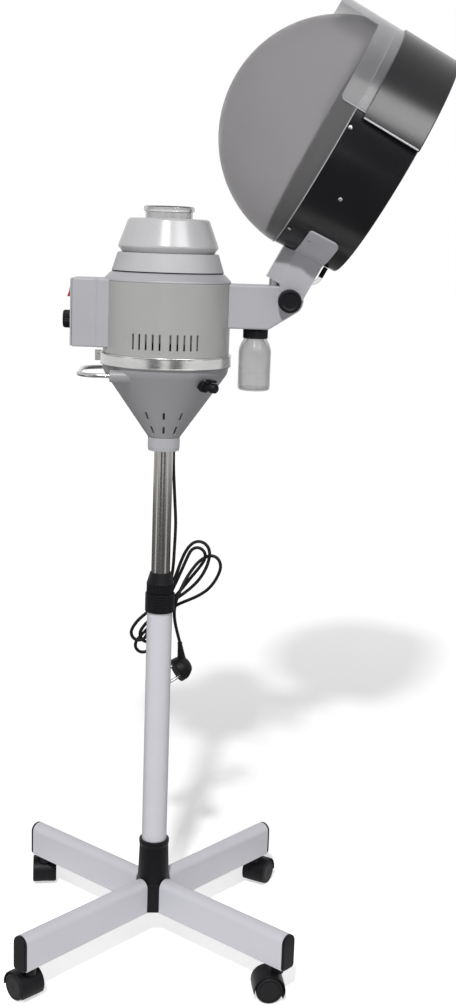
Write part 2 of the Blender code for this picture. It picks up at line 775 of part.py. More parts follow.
def build_collar(head):
    bore = MAST_RADIUS + GAP
    sleeve = bore + COLLAR_SLEEVE_WALL
    lathe("tube_collar", [
        (0, COLLAR_SLEEVE_TOP), (sleeve, COLLAR_SLEEVE_TOP), (sleeve, COLLAR_HEIGHT),
        (COLLAR_RADIUS, COLLAR_HEIGHT), (COLLAR_RADIUS, 0), (bore, 0),
        (bore, COLLAR_SLEEVE_TOP - COLLAR_CROWN), (0, COLLAR_SLEEVE_TOP - COLLAR_CROWN),
    ], head, "light_grey")


def build_funnel(head):
    bottom = COLLAR_HEIGHT + GAP
    funnel = lathe("funnel_cover", [
        (BODY_RADIUS - BODY_WALL, BODY_SEAM), (BODY_RADIUS, BODY_SEAM), (BODY_RADIUS, CONE_SHOULDER),
        (CONE_TOP_RADIUS, CONE_TOP), (cone_radius(bottom), bottom), (cone_radius(bottom) - BODY_WALL, bottom),
        (CONE_TOP_RADIUS - BODY_WALL, CONE_TOP), (BODY_RADIUS - BODY_WALL, CONE_SHOULDER),
    ], head, "funnel_grey", BIG_SIDES)
    surface, face = handle_boss_face()
    for side in (-1, 1):
        frame = along_x(0, side * HANDLE_HALF, HANDLE_HEIGHT)
        boss = rod(f"handle_boss_{side}", HANDLE_BOSS_RADIUS, -face, HANDLE_BOSS_BITE - surface, head,
                   None, frame)
        socket = rod(f"handle_socket_{side}", HANDLE_ROD + GAP, -face - PAST, HANDLE_SOCKET - face, head,
                     None, frame)
        weld(funnel, boss)
        carve(funnel, socket)
    slot_half = Vector((PAST, CONE_SLOT_WIDTH / 2, CONE_SLOT_LENGTH / 2))
    for height in CONE_SLOT_HEIGHTS:
        for angle in CONE_SLOT_ANGLES:
            for face in (-90, 90):
                frame = cone_frame(height, face + angle)
                carve(funnel, box("cone_slot", -slot_half, slot_half, head, None, frame))
    tap_hole = rod("tap_hole", TAP_STEM_RADIUS + GAP, -TAP_STEM_DEPTH - PAST, PAST, head, None,
                   tap_frame() @ along_x())
    gland_hole = rod("gland_hole", GLAND_RADIUS + GAP, GLAND_BOTTOM, GLAND_TOP, head, None,
                     Matrix.Translation((GLAND_X, GLAND_Y, 0)))
    carve(funnel, tap_hole, gland_hole)


def build_housing(head):
    low = BODY_SEAM - BAND_WIDTH / 2
    high = BODY_SEAM + BAND_WIDTH / 2
    inner = BODY_RADIUS + GAP
    lathe("clamp_band", [
        (inner, high), (inner + BAND_THICKNESS, high), (inner + BAND_THICKNESS, low), (inner, low),
    ], head, "steel", BIG_SIDES)
    wall = BODY_RADIUS - BODY_WALL
    housing = lathe("main_housing", [
        (BODY_RADIUS - HOUSING_LIP, HOUSING_TOP), (BODY_RADIUS, HOUSING_TOP), (BODY_RADIUS, BODY_SEAM + GAP),
        (wall, BODY_SEAM + GAP), (wall, HOUSING_TOP - HOUSING_LIP_DEPTH),
        (BODY_RADIUS - HOUSING_LIP, HOUSING_TOP - HOUSING_LIP_DEPTH),
    ], head, "housing_grey", BIG_SIDES)
    for side in (-1, 1):
        for k in range(VENT_COUNT):
            turn = Matrix.Rotation(math.radians(side * (VENT_FIRST + k * VENT_PITCH) - 90), 4, "Z")
            slot = box(f"vent_{side}_{k}", (BODY_RADIUS - PAST, -VENT_WIDTH / 2, VENT_BOTTOM),
                       (BODY_RADIUS + PAST, VENT_WIDTH / 2, VENT_TOP), head, None, turn)
            carve(housing, slot)
    pipe_hole = rod("pipe_hole", PIPE_RADIUS + GAP, POT_RADIUS + PAST, BODY_RADIUS + PAST, head, None,
                    along_x(0, 0, PIPE_HEIGHT))
    carve(housing, pipe_hole)


def build_boiler(head):
    flange_low = HOUSING_TOP + GAP
    flange_high = flange_low + POT_FLANGE
    inner = POT_RADIUS - POT_WALL
    pot = lathe("boiler_pot", [
        (0, POT_BOTTOM + POT_WALL), (inner, POT_BOTTOM + POT_WALL), (inner, flange_high),
        (POT_FLANGE_RADIUS, flange_high), (POT_FLANGE_RADIUS, flange_low), (POT_RADIUS, flange_low),
        (POT_RADIUS, POT_BOTTOM), (0, POT_BOTTOM),
    ], head, "aluminium", BIG_SIDES)
    steam_hole = rod("steam_hole", PIPE_RADIUS - PIPE_WALL, inner - PAST, POT_RADIUS + PAST, head, None,
                     along_x(0, 0, PIPE_HEIGHT))
    carve(pot, steam_hole)
    ring_height = POT_BOTTOM + POT_WALL + HEATER_RISE
    section = arc((HEATER_RING, ring_height), HEATER_RADIUS, 0, 315, 7)
    heater = lathe("heating_element", section, head, "steel", MID_SIDES)
    for side in (-1, 1):
        place = Matrix.Translation((0, side * HEATER_RING, 0))
        pin_low = POT_BOTTOM - HEATER_PIN_DROP
        weld(heater, rod("heater_pin", HEATER_PIN_RADIUS, pin_low, ring_height, head, None, place))
        carve(pot, rod("heater_hole", HEATER_PIN_RADIUS + GAP, pin_low, ring_height, head, None, place))


def build_tank(head):
    shoulder_low = HOUSING_TOP + GAP
    shoulder_top = shoulder_low + SHOULDER_HEIGHT
    flange_clear = POT_FLANGE_RADIUS + GAP
    under_plate = shoulder_top - SHOULDER_PLATE
    lathe("shoulder_cover", [
        (SHOULDER_HOLE, shoulder_top), (SHOULDER_TOP_RADIUS, shoulder_top),
        (BODY_RADIUS, shoulder_low + BODY_WALL), (BODY_RADIUS, shoulder_low), (flange_clear, shoulder_low),
        (flange_clear, shoulder_low + POT_FLANGE + GAP), (SHOULDER_TOP_RADIUS - BODY_WALL, under_plate),
        (SHOULDER_HOLE, under_plate),
    ], head, "light_grey", BIG_SIDES)
    foot = shoulder_top + GAP
    ring_low = foot + RING_FOOT
    ring_top = ring_low + RING_HEIGHT
    foot_radius = SHOULDER_TOP_RADIUS - RING_FOOT_INSET
    lathe("tank_ring", [
        (RING_TOP_RADIUS - SHROUD_FOOT_INSET - RING_WALL, ring_top), (RING_TOP_RADIUS, ring_top),
        (SHOULDER_TOP_RADIUS, ring_low), (foot_radius, ring_low), (foot_radius, foot),
        (foot_radius - RING_WALL, foot), (foot_radius - RING_WALL, ring_low),
        (RING_TOP_RADIUS - RING_WALL, ring_top - RING_WALL),
        (RING_TOP_RADIUS - SHROUD_FOOT_INSET - RING_WALL, ring_top - RING_WALL),
    ], head, "silver", BIG_SIDES)
    shroud_low = ring_top + GAP
    shroud_top = shroud_low + SHROUD_HEIGHT
    foot_out = RING_TOP_RADIUS - SHROUD_FOOT_INSET
    wide = RING_TOP_RADIUS
    hole = NECK_RADIUS + GAP
    lathe("tank_shroud", [
        (hole, shroud_top), (SHROUD_TOP_RADIUS - SHROUD_ROUND, shroud_top),
        (SHROUD_TOP_RADIUS, shroud_top - SHROUD_ROUND), (wide, shroud_low + SHROUD_FLARE),
        (foot_out, shroud_low), (foot_out - RING_WALL, shroud_low),
        (wide - RING_WALL, shroud_low + SHROUD_FLARE),
        (SHROUD_TOP_RADIUS - RING_WALL, shroud_top - SHROUD_ROUND), (hole, shroud_top - SHROUD_ROUND),
    ], head, "pearl", BIG_SIDES)
    jar_low = shoulder_top + GAP
    body_top = jar_low + JAR_BODY
    neck_low = body_top + JAR_SHOULDER
    bead_low = neck_low + NECK_RISE
    jar_top = bead_low + BEAD_HEIGHT
    bore = NECK_RADIUS - JAR_WALL
    bead = BEAD_HEIGHT / 3
    lathe("glass_jar", [
        (0, jar_low + JAR_WALL), (JAR_RADIUS - JAR_WALL, jar_low + JAR_WALL),
        (JAR_RADIUS - JAR_WALL, body_top), (bore, neck_low), (bore, jar_top), (BEAD_RADIUS - bead, jar_top),
        (BEAD_RADIUS, jar_top - bead), (BEAD_RADIUS, bead_low + bead), (NECK_RADIUS, bead_low),
        (NECK_RADIUS, neck_low), (JAR_RADIUS, body_top), (JAR_RADIUS, jar_low), (0, jar_low),
    ], head, "clear", MID_SIDES)


def build_controls(head):
    back = -BODY_RADIUS / 2
    open_front = BOX_FRONT - PANEL_THICKNESS - GAP
    top = BOX_BOTTOM + BOX_HEIGHT

    def side(inset):
        front = (-open_front, PANEL_HALF - inset)
        return [front, (-FLARE_BACK, FLARE_HALF - inset), (back, FLARE_HALF - inset)]

    through = (-BOX_FRONT - PAST, PANEL_HALF - BOX_WALL)
    casing = prism("control_box", both_sides(side(0)), BOX_BOTTOM, top, head, "light_grey")
    hollow = prism("control_hollow", both_sides([through] + side(BOX_WALL)), BOX_BOTTOM + BOX_WALL,
                   top - BOX_WALL, head, None)
    body = rod("control_seat", BODY_RADIUS + GAP, BOX_BOTTOM - PAST, top + PAST, head, None, sides=BIG_SIDES)
    carve(casing, hollow, body)
    panel_back = -BOX_FRONT + PANEL_THICKNESS
    half = PANEL_HALF - PANEL_MARGIN
    panel = box("control_panel", (-BOX_FRONT, -half, BOX_BOTTOM + PANEL_MARGIN),
                (panel_back, half, top - PANEL_MARGIN), head, "light_grey")
    build_rocker(head, panel)
    build_timer(head, panel, panel_back)


def build_rocker(head, panel):
    cavity_half = ROCKER_HALF + ROCKER_CLEARANCE
    cavity_wide = ROCKER_WIDTH / 2 + GAP
    flange_half = cavity_half + BEZEL_RIM
    flange_wide = cavity_wide + BEZEL_RIM
    face = -BOX_FRONT - GAP
    barrel_half = cavity_half + BEZEL_WALL
    barrel_wide = cavity_wide + BEZEL_WALL
    barrel_back = -BOX_FRONT + BEZEL_DEPTH
    frame = Matrix.Translation((0, 0, ROCKER_HEIGHT))
    bezel = box("rocker_bezel", (face - BEZEL_PROUD, -flange_wide, -flange_half),
                (face, flange_wide, flange_half), head, "black_plastic", frame)
    barrel = box("bezel_barrel", (face - BEZEL_PROUD / 2, -barrel_wide, -barrel_half),
                 (barrel_back, barrel_wide, barrel_half), head, None, frame)
    cavity = box("bezel_cavity", (face - PAST, -cavity_wide, -cavity_half),
                 (barrel_back - BEZEL_WALL, cavity_wide, cavity_half), head, None, frame)
    weld(bezel, barrel)
    carve(bezel, cavity)
    opening = box("bezel_opening", (-BOX_FRONT - PAST, -barrel_wide - GAP, -barrel_half - GAP),
                  (-BOX_FRONT + PAST, barrel_wide + GAP, barrel_half + GAP), head, None, frame)
    carve(panel, opening)
    pivot = empty("rocker_pivot", head, (-BOX_FRONT + ROCKER_PIVOT_DEPTH, 0, ROCKER_HEIGHT))
    outline = [
        (-ROCKER_FLUSH, ROCKER_HALF), (-ROCKER_RIDGE, 0), (-ROCKER_PROUD, -ROCKER_HALF),
        (ROCKER_BACK / 6, -ROCKER_HALF), (ROCKER_BACK, -ROCKER_BACK / 2), (ROCKER_BACK, ROCKER_BACK / 2),
        (ROCKER_BACK / 2, ROCKER_HALF),
    ]
    sideways = Matrix.Rotation(math.radians(90), 4, "X")
    prism("power_rocker", outline, -ROCKER_WIDTH / 2, ROCKER_WIDTH / 2, pivot, "red", sideways)


def build_timer(head, panel, panel_back):
    seat = panel_back + GAP
    timer = box("timer_unit", (seat, -TIMER_HALF, TIMER_HEIGHT - TIMER_HALF),
                (seat + TIMER_DEPTH, TIMER_HALF, TIMER_HEIGHT + TIMER_HALF), head, "black_plastic")
    shaft_frame = along_x(0, 0, TIMER_HEIGHT)
    shaft_tip = -BOX_FRONT - TIMER_SHAFT_LENGTH
    shaft = rod("timer_shaft", TIMER_SHAFT_RADIUS, shaft_tip, seat + TIMER_DEPTH / 2, head, None, shaft_frame)
    weld(timer, shaft)
    bore = TIMER_SHAFT_RADIUS + GAP
    hole = rod("timer_hole", bore, -BOX_FRONT - PAST, -BOX_FRONT + PAST, head, None, shaft_frame)
    carve(panel, hole)
    pivot = empty("timer_pivot", head, (-BOX_FRONT, 0, TIMER_HEIGHT))
    rim = KNOB_RADIUS - KNOB_FRONT_RADIUS
    lathe("timer_knob", [
        (0, -KNOB_DEPTH), (KNOB_FRONT_RADIUS, -KNOB_DEPTH), (KNOB_RADIUS, -KNOB_DEPTH + rim),
        (KNOB_RADIUS, -GAP), (bore, -GAP), (bore, -TIMER_SHAFT_LENGTH - GAP), (0, -TIMER_SHAFT_LENGTH - GAP),
    ], pivot, "black_plastic", WHEEL_SIDES, along_x())


def build_handle(head):
    socket_end = HANDLE_SOCKET - handle_boss_face()[1] - GAP
    corner_x = -HANDLE_REACH + HANDLE_BEND
    corner_y = HANDLE_HALF - HANDLE_BEND
    half = arc((corner_x, corner_y), HANDLE_BEND, 180, 90, 7) + [(socket_end, HANDLE_HALF)]
    path = [(x, -y) for x, y in half[::-1]] + half
    wire("pull_handle", [(x, y, HANDLE_HEIGHT) for x, y in path], HANDLE_ROD, head, "chrome")


def build_tap(head):
    tip = TAP_FLANGE + TAP_BARREL_LENGTH
    end = tip + TAP_TIP_LENGTH
    lathe("drain_tap", [
        (0, end), (TAP_TIP_RADIUS - TAP_TIP_EDGE, end), (TAP_TIP_RADIUS, end - TAP_TIP_EDGE),
        (TAP_TIP_RADIUS, tip), (TAP_BARREL_RADIUS, tip), (TAP_BARREL_RADIUS, TAP_FLANGE),
        (TAP_FLANGE_RADIUS, TAP_FLANGE), (TAP_FLANGE_RADIUS, 0), (TAP_STEM_RADIUS, 0),
        (TAP_STEM_RADIUS, -TAP_STEM_DEPTH), (0, -TAP_STEM_DEPTH),
    ], head, "black_plastic", SMALL_SIDES, tap_frame() @ along_x())
    middle = TAP_FLANGE + TAP_BARREL_LENGTH / 2
    on_barrel = tap_frame() @ Matrix.Translation((middle, 0, TAP_BARREL_RADIUS + GAP))
    pivot = empty("tap_lever_pivot", head)
    pivot.matrix_local = on_barrel
    hub = rod("tap_lever", LEVER_RADIUS, 0, LEVER_HEIGHT, pivot, "black_plastic")
    blade = box("tap_blade", (-LEVER_RADIUS / 2, -LEVER_WIDTH / 2, LEVER_HEIGHT - LEVER_THICKNESS),
                (LEVER_LENGTH - LEVER_RADIUS, LEVER_WIDTH / 2, LEVER_HEIGHT + GAP), pivot, None)
    weld(hub, blade)


def build_arm(head):
    sideways = Matrix.Rotation(math.radians(90), 4, "X")
    start = BODY_RADIUS / 2
    top = PIVOT_Z + ARM_END_RADIUS
    outline = [(start, ARM_BOTTOM), (ARM_CORNER_X, ARM_BOTTOM)]
    outline += arc((PIVOT_X, PIVOT_Z), ARM_END_RADIUS, ARM_ARC_START, 90, 8) + [(start, top)]
    arm = prism("steam_arm", outline, -ARM_HALF, ARM_HALF, head, "light_grey", sideways)
    soften(arm, ARM_EDGE, limit=70)
    inside = [
        (start - PAST, ARM_BOTTOM + ARM_WALL), (ARM_SLOPE_START, ARM_BOTTOM + ARM_WALL),
        (ARM_HOLLOW_END, PIVOT_Z - ARM_END_RADIUS), (ARM_HOLLOW_END, top - ARM_WALL),
        (start - PAST, top - ARM_WALL),
    ]
    hollow = prism("arm_hollow", inside, -ARM_HALF + ARM_WALL, ARM_HALF - ARM_WALL, head, None, sideways)
    seat = rod("arm_seat", BODY_RADIUS + GAP, ARM_BOTTOM - PAST, top + PAST, head, None, sides=BIG_SIDES)
    pipe_hole = rod("arm_pipe_hole", PIPE_RADIUS + GAP, PIVOT_Z, top + PAST, head, None,
                    Matrix.Translation((PIPE_RISE_X, 0, 0)))
    bolt_hole = rod("arm_bolt_hole", TILT_BOLT_RADIUS + GAP, -2 * ARM_HALF, 2 * ARM_HALF, head, None,
                    along_y(PIVOT_X, 0, PIVOT_Z))
    carve(arm, hollow, seat, pipe_hole, bolt_hole)
    bend = arc((PIPE_RISE_X - PIPE_BEND, PIPE_HEIGHT + PIPE_BEND), PIPE_BEND, -90, 0, 5)
    path = [(POT_RADIUS + GAP, PIPE_HEIGHT)] + bend + [(PIPE_RISE_X, PIPE_TOP)]
    pipe("steam_pipe", [(x, 0, z) for x, z in path], PIPE_RADIUS, PIPE_WALL, head, "aluminium")


def build_bottle(head):
    place = Matrix.Translation((CAP_X, 0, 0))
    cap_top = ARM_BOTTOM - GAP
    cap_low = cap_top - CAP_HEIGHT
    bore = BOTTLE_NECK_RADIUS + GAP
    lathe("bottle_cap", [
        (0, cap_top), (CAP_RADIUS, cap_top), (CAP_RADIUS, cap_low), (bore, cap_low),
        (bore, cap_top - CAP_TOP_WALL), (0, cap_top - CAP_TOP_WALL),
    ], head, "black_plastic", MID_SIDES, place)
    pivot = empty("bottle_pivot", head, (CAP_X, 0, cap_low))
    neck_top = CAP_HEIGHT - CAP_TOP_WALL - GAP
    shoulder = -GAP
    body_top = shoulder - BOTTLE_SHOULDER
    floor = -BOTTLE_HEIGHT
    outside = [
        (BOTTLE_NECK_RADIUS, neck_top), (BOTTLE_NECK_RADIUS, shoulder), (BOTTLE_SHOULDER_RADIUS, shoulder),
        (BOTTLE_RADIUS, body_top), (BOTTLE_RADIUS, floor + BOTTLE_EDGE), (BOTTLE_RADIUS - BOTTLE_EDGE, floor),
        (0, floor),
    ]
    inside = [
        (0, floor + BOTTLE_WALL), (BOTTLE_RADIUS - BOTTLE_EDGE, floor + BOTTLE_WALL),
        (BOTTLE_RADIUS - BOTTLE_WALL, floor + BOTTLE_EDGE + BOTTLE_WALL),
        (BOTTLE_RADIUS - BOTTLE_WALL, body_top - BOTTLE_WALL),
        (BOTTLE_NECK_RADIUS - BOTTLE_WALL, shoulder - BOTTLE_WALL),
        (BOTTLE_NECK_RADIUS - BOTTLE_WALL, neck_top),
    ]
    lathe("condensate_bottle", inside + outside, pivot, "clear", MID_SIDES)


def build_tilt_lock(head):
    """Bolt through the arm's end and the yoke's cheeks, with its clamping knob on the near side."""
    cheek_face = ARM_HALF + CHEEK_GAP + CHEEK_WALL
    frame = along_y(PIVOT_X, 0, PIVOT_Z)
    knob_face = cheek_face + GAP
    bolt_end = knob_face + TILT_BOLT_INTO_KNOB
    lathe("tilt_bolt", [
        (0, bolt_end), (TILT_BOLT_RADIUS, bolt_end), (TILT_BOLT_RADIUS, -cheek_face - GAP),
        (TILT_HEAD_RADIUS, -cheek_face - GAP), (TILT_HEAD_RADIUS, -cheek_face - GAP - TILT_HEAD),
        (0, -cheek_face - GAP - TILT_HEAD),
    ], head, "steel", SMALL_SIDES, frame)
    pivot = empty("tilt_knob_pivot", head, (PIVOT_X, 0, PIVOT_Z))
    bore = TILT_BOLT_RADIUS + GAP
    top = knob_face + TILT_KNOB_DEPTH
    lathe("tilt_knob", [
        (0, top), (TILT_KNOB_RADIUS - TILT_KNOB_EDGE, top), (TILT_KNOB_RADIUS, top - TILT_KNOB_EDGE),
        (TILT_KNOB_RADIUS, knob_face), (bore, knob_face), (bore, bolt_end + GAP), (0, bolt_end + GAP),
    ], pivot, "black_plastic", WHEEL_SIDES, along_y())


def band_radius(x):
    """Outer radius of the hood's black band, which tapers from the seam to the rim."""
    return SEAM_RADIUS + (RIM_RADIUS - SEAM_RADIUS) * (x - HOOD_SEAM) / (HOOD_RIM - HOOD_SEAM)


def hood_point(x, radius, angle):
    """A point of the hood from its place along the axis, radius and angle from the top in degrees."""
    a = math.radians(angle)
    return (x, radius * math.sin(a), HOOD_AXIS + radius * math.cos(a))


def hood_lathe(name, outline, parent, finish):
    """Spins (x, radius) points round the hood's axis."""
    turned = [(radius, x) for x, radius in outline]
    return lathe(name, turned, parent, finish, HOOD_SIDES, along_x(0, 0, HOOD_AXIS))


def shell_arc(x, low, high, half_angle, middle=0.0):
    """Closed outline of a curved strip at one place along the hood's axis."""
    steps = math.ceil(2 * half_angle * HOOD_SIDES / 360)
    angles = [middle - half_angle + 2 * half_angle * k / steps for k in range(steps + 1)]
    return [hood_point(x, high, a) for a in angles] + [hood_point(x, low, a) for a in angles[::-1]]


def build_hood_shell(hood):
    seat = DOME_RADIUS - DOME_WALL - SKIRT_INSET
    seam_in = HOOD_SEAM - SKIRT_OVERLAP
    step = HOOD_SEAM + GAP
    rim_in = HOOD_RIM - RIM_ROUND
    band = hood_lathe("hood_band", [
        (seam_in, seat - HOOD_WALL), (seam_in, seat), (step, seat), (step, band_radius(step)),
        (rim_in, band_radius(rim_in)), (HOOD_RIM, band_radius(HOOD_RIM) - RIM_ROUND),
        (HOOD_RIM, band_radius(HOOD_RIM) - RIM_LIP), (rim_in, band_radius(HOOD_RIM) - RIM_LIP),
        (rim_in - RIM_ROUND, band_radius(rim_in) - HOOD_WALL), (step + HOOD_WALL, seat - HOOD_WALL),
    ], hood, "black_gloss")
    nozzle_hole = rod("nozzle_hole", NOZZLE_RADIUS + GAP, 0, HOOD_AXIS / 2, hood, None,
                      Matrix.Translation((NOZZLE_X, 0, 0)))
    carve(band, nozzle_hole)
    centre = HOOD_SEAM + DOME_SETBACK

    def half_round(radius):
        first = math.acos(DOME_SETBACK / radius)
        angles = [first * (1 - k / DOME_RINGS) for k in range(DOME_RINGS + 1)]
        return [(centre - radius * math.cos(a), radius * math.sin(a)) for a in angles]

    outside = half_round(DOME_RADIUS)
    inside = half_round(DOME_RADIUS - DOME_WALL)
    outside[-1] = (centre - DOME_RADIUS, 0)
    inside[-1] = (centre - DOME_RADIUS + DOME_WALL, 0)
    hood_lathe("hood_dome", inside[::-1] + outside, hood, "smoke")


def build_visor(hood):
    """Clear visor under its cover. A tab in the middle reaches back over the dome."""
    low = DOME_RADIUS + VISOR_GAP
    high = low + VISOR_WALL
    step = 360 / HOOD_SIDES
    columns = round(VISOR_HALF_ANGLE / step)
    tab_columns = round(VISOR_TAB_ANGLE / step)
    rows = [VISOR_TAB_BACK, VISOR_BACK, VISOR_FRONT]
    bm = bmesh.new()
    grid = {(r, c): bm.verts.new(hood_point(x, low, c * VISOR_HALF_ANGLE / columns))
            for r, x in enumerate(rows) for c in range(-columns, columns + 1) if r or abs(c) <= tab_columns}
    faces = [bm.faces.new((grid[r, c], grid[r, c + 1], grid[r + 1, c + 1], grid[r + 1, c]))
             for r in range(2) for c in range(-columns, columns) if (r, c) in grid and (r, c + 1) in grid]
    grown = bmesh.ops.extrude_face_region(bm, geom=faces)
    for item in grown["geom"]:
        if isinstance(item, bmesh.types.BMVert):
            outward = Vector((0, item.co.y, item.co.z - HOOD_AXIS))
            item.co += outward * (high / low - 1)
    solid("visor", bm, hood, "clear")
    cover_low = high + COVER_GAP
    cover_high = cover_low + COVER_WALL
    steps = math.ceil(2 * COVER_HALF_ANGLE * HOOD_SIDES / 360)

    def section(x):
        rail = band_radius(x) + RAIL_GAP
        half = COVER_HALF_ANGLE
        inner = half - COVER_RAIL_ANGLE
        spread = [2 * k / steps - 1 for k in range(steps + 1)]
        outer = [hood_point(x, cover_high, half * s) for s in spread]
        under = [hood_point(x, cover_low, inner * s) for s in spread[::-1]]
        right = [hood_point(x, rail, half), hood_point(x, rail, inner)]
        left = [hood_point(x, rail, -inner), hood_point(x, rail, -half)]
        return outer + right + under + left

    loft("visor_cover", [section(COVER_BACK), section(HOOD_RIM)], hood, "black_gloss")


def build_yoke(hood):
    """Channel from the tilt pivot to the hood, ending in a saddle that follows the band."""
    cheek_in = ARM_HALF + CHEEK_GAP
    cheek_out = cheek_in + CHEEK_WALL
    wall = CHEEK_WALL
    outside = [(YOKE_BACK, YOKE_BACK_HALF), (CHEEK_BACK, cheek_out), (CHEEK_FRONT, cheek_out)]
    inside = [(CHEEK_FRONT, cheek_in), (CHEEK_BACK + wall / 2, cheek_in)]
    inside.append((YOKE_BACK + wall, YOKE_BACK_HALF - wall / 2))
    reach = HOOD_AXIS / 2
    yoke = prism("hood_yoke", both_sides(inside[::-1] + outside[::-1]), -CHEEK_ROUND - PAST, reach, hood,
                 "light_grey")
    corner = math.degrees(math.asin(CHEEK_FRONT / CHEEK_ROUND))
    side = [(YOKE_BACK - PAST, YOKE_BACK_FOOT), (CHEEK_BACK + wall, YOKE_BACK_FOOT)]
    side += arc((0, 0), CHEEK_ROUND, 170, 450 - corner, 12)
    side += [(CHEEK_FRONT + PAST, CHEEK_ROUND), (CHEEK_FRONT + PAST, reach + PAST)]
    side.append((YOKE_BACK - PAST, reach + PAST))
    profile = prism("yoke_profile", side, -2 * cheek_out, 2 * cheek_out, hood, None,
                    Matrix.Rotation(math.radians(90), 4, "X"))
    boolean(yoke, profile, "INTERSECT")
    room = GAP + SADDLE_BITE
    inner = hood_lathe("yoke_clearance", [
        (-reach, 0), (-reach, band_radius(-reach) + room), (reach, band_radius(reach) + room), (reach, 0),
    ], hood, None)
    bolt_hole = rod("yoke_bolt_hole", TILT_BOLT_RADIUS + GAP, -2 * cheek_out, 2 * cheek_out, hood, None,
                    along_y())
    carve(yoke, inner, bolt_hole)

    def saddle_section(x):
        low = band_radius(x) + GAP
        return shell_arc(x, low, low + SADDLE_WALL, SADDLE_HALF_ANGLE, 180.0)

    saddle = loft("yoke_saddle", [saddle_section(SADDLE_BACK), saddle_section(SADDLE_FRONT)], hood, None)
    opening = rod("saddle_opening", NOZZLE_RADIUS + GAP, 0, HOOD_AXIS / 2, hood, None,
                  Matrix.Translation((NOZZLE_X, 0, 0)))
    weld(yoke, saddle)
    carve(yoke, opening)


def build_hood_fittings(hood):
    nozzle_low = HOOD_AXIS - band_radius(NOZZLE_X) - NOZZLE_BELOW
    bore = NOZZLE_RADIUS - NOZZLE_WALL
    lathe("steam_nozzle", [
        (bore, NOZZLE_LENGTH), (NOZZLE_RADIUS, NOZZLE_LENGTH), (NOZZLE_RADIUS, 0), (bore, 0),
    ], hood, "aluminium", SMALL_SIDES, Matrix.Translation((NOZZLE_X, 0, nozzle_low)))
    nipple_top = HOOD_AXIS - band_radius(NIPPLE_X - NIPPLE_RADIUS) - GAP
    nipple_low = nipple_top - NIPPLE_LENGTH
    rod("drain_nipple", NIPPLE_RADIUS, nipple_low, nipple_top, hood, "black_plastic",
        Matrix.Translation((NIPPLE_X, 0, 0)), PIN_SIDES)
    route = [(NIPPLE_X + x, 0, nipple_low - GAP + z) for x, z in HOSE_ROUTE]
    wire("drain_hose", smooth_path(route, 3), HOSE_RADIUS, hood, "clear")


def hank_outline():
    """Two round ends joined by their outer tangents, as (x, z) points, and the right-hand side's normal."""
    low = Vector(HANK_LOW)
    high = Vector(HANK_HIGH)
    span = high - low
    along = span.normalized()
    lean = (HANK_HIGH_RADIUS - HANK_LOW_RADIUS) / span.length
    base = math.degrees(math.atan2(along.y, along.x))
    swing = 90 + math.degrees(math.asin(lean))
    outline = arc(low, HANK_LOW_RADIUS, base + swing, base + 360 - swing, HANK_ARC_STEPS)
    outline += arc(high, HANK_HIGH_RADIUS, base - swing, base + swing, 2 * HANK_ARC_STEPS)
    right = math.radians(base - swing)
    return outline, Vector((math.cos(right), math.sin(right)))


def build_cord(head):
    lathe("cord_gland", [
        (0, GLAND_TOP), (GLAND_RADIUS, GLAND_TOP), (GLAND_RADIUS, GLAND_BOTTOM + GLAND_STRAIGHT),
        (GLAND_TIP_RADIUS, GLAND_BOTTOM), (0, GLAND_BOTTOM),
    ], head, "dark_rubber", SMALL_SIDES, Matrix.Translation((GLAND_X, GLAND_Y, 0)))
    outline, right = hank_outline()
    sideways = Matrix.Rotation(math.radians(90), 4, "X")
    half = HANK_THICKNESS / 2
    prism("cord_hank", outline, -HANK_Y - half, -HANK_Y + half, head, "dark_rubber", sideways)
    over = DROP_END_X + CORD_RADIUS - HANK_HIGH[0]
    drop_end = HANK_HIGH[1] + math.sqrt(HANK_HIGH_RADIUS**2 - over**2) + 2 * GAP
    drop = [(GLAND_X, GLAND_Y, GLAND_BOTTOM - GAP)] + DROP_MIDDLE + [(DROP_END_X, HANK_Y, drop_end)]
    wire("cord_drop", smooth_path(drop, 3), CORD_RADIUS, head, "dark_rubber")
    edge = Vector(HANK_LOW) + HANK_LOW_RADIUS * right
    slide = (TAIL_START_X - edge.x) / -right.y
    start = edge + slide * Vector((-right.y, right.x)) + TAIL_OFFSET * right
    end = Vector(PLUG_TOP)
    middle = (start + end) / 2 + Vector((TAIL_BOW, 0))
    tail = [(p.x, HANK_Y, p.y) for p in (start, middle, end)]
    wire("cord_tail", smooth_path(tail, 3), CORD_RADIUS, head, "dark_rubber")
    build_plug(head)


def build_plug(head):
    """Right-angled plug: a round body on the X axis, its strain relief and its two pins."""
    frame = along_x(PLUG_X, HANK_Y, PLUG_Z)
    plug = lathe("plug", [
        (0, PLUG_LENGTH), (PLUG_BACK_RADIUS, PLUG_LENGTH), (PLUG_RADIUS, PLUG_STRAIGHT), (PLUG_RADIUS, 0),
        (0, 0),
    ], head, "black_plastic", WHEEL_SIDES, frame)
    top = Vector((PLUG_TOP[0], HANK_Y, PLUG_TOP[1] - 2 * GAP))
    foot = Vector((PLUG_X + PLUG_LENGTH / 2, HANK_Y, PLUG_Z))
    down = foot - top
    relief_frame = Matrix.Translation(top) @ down.to_track_quat("Z", "Y").to_matrix().to_4x4()
    relief = lathe("plug_relief", [
        (0, down.length), (PLUG_RELIEF_WIDE, down.length), (PLUG_RELIEF_RADIUS, 0), (0, 0),
    ], head, None, SMALL_SIDES, relief_frame)
    weld(plug, relief)
    turn = math.radians(PIN_TURN)
    for spread in (-PIN_SPREAD, PIN_SPREAD):
        place = along_x(PLUG_X, HANK_Y + spread * math.sin(turn), PLUG_Z + spread * math.cos(turn))
        weld(plug, rod("plug_pin", PIN_RADIUS, -PIN_LENGTH, PLUG_STRAIGHT / 2, head, None, place, PIN_SIDES))


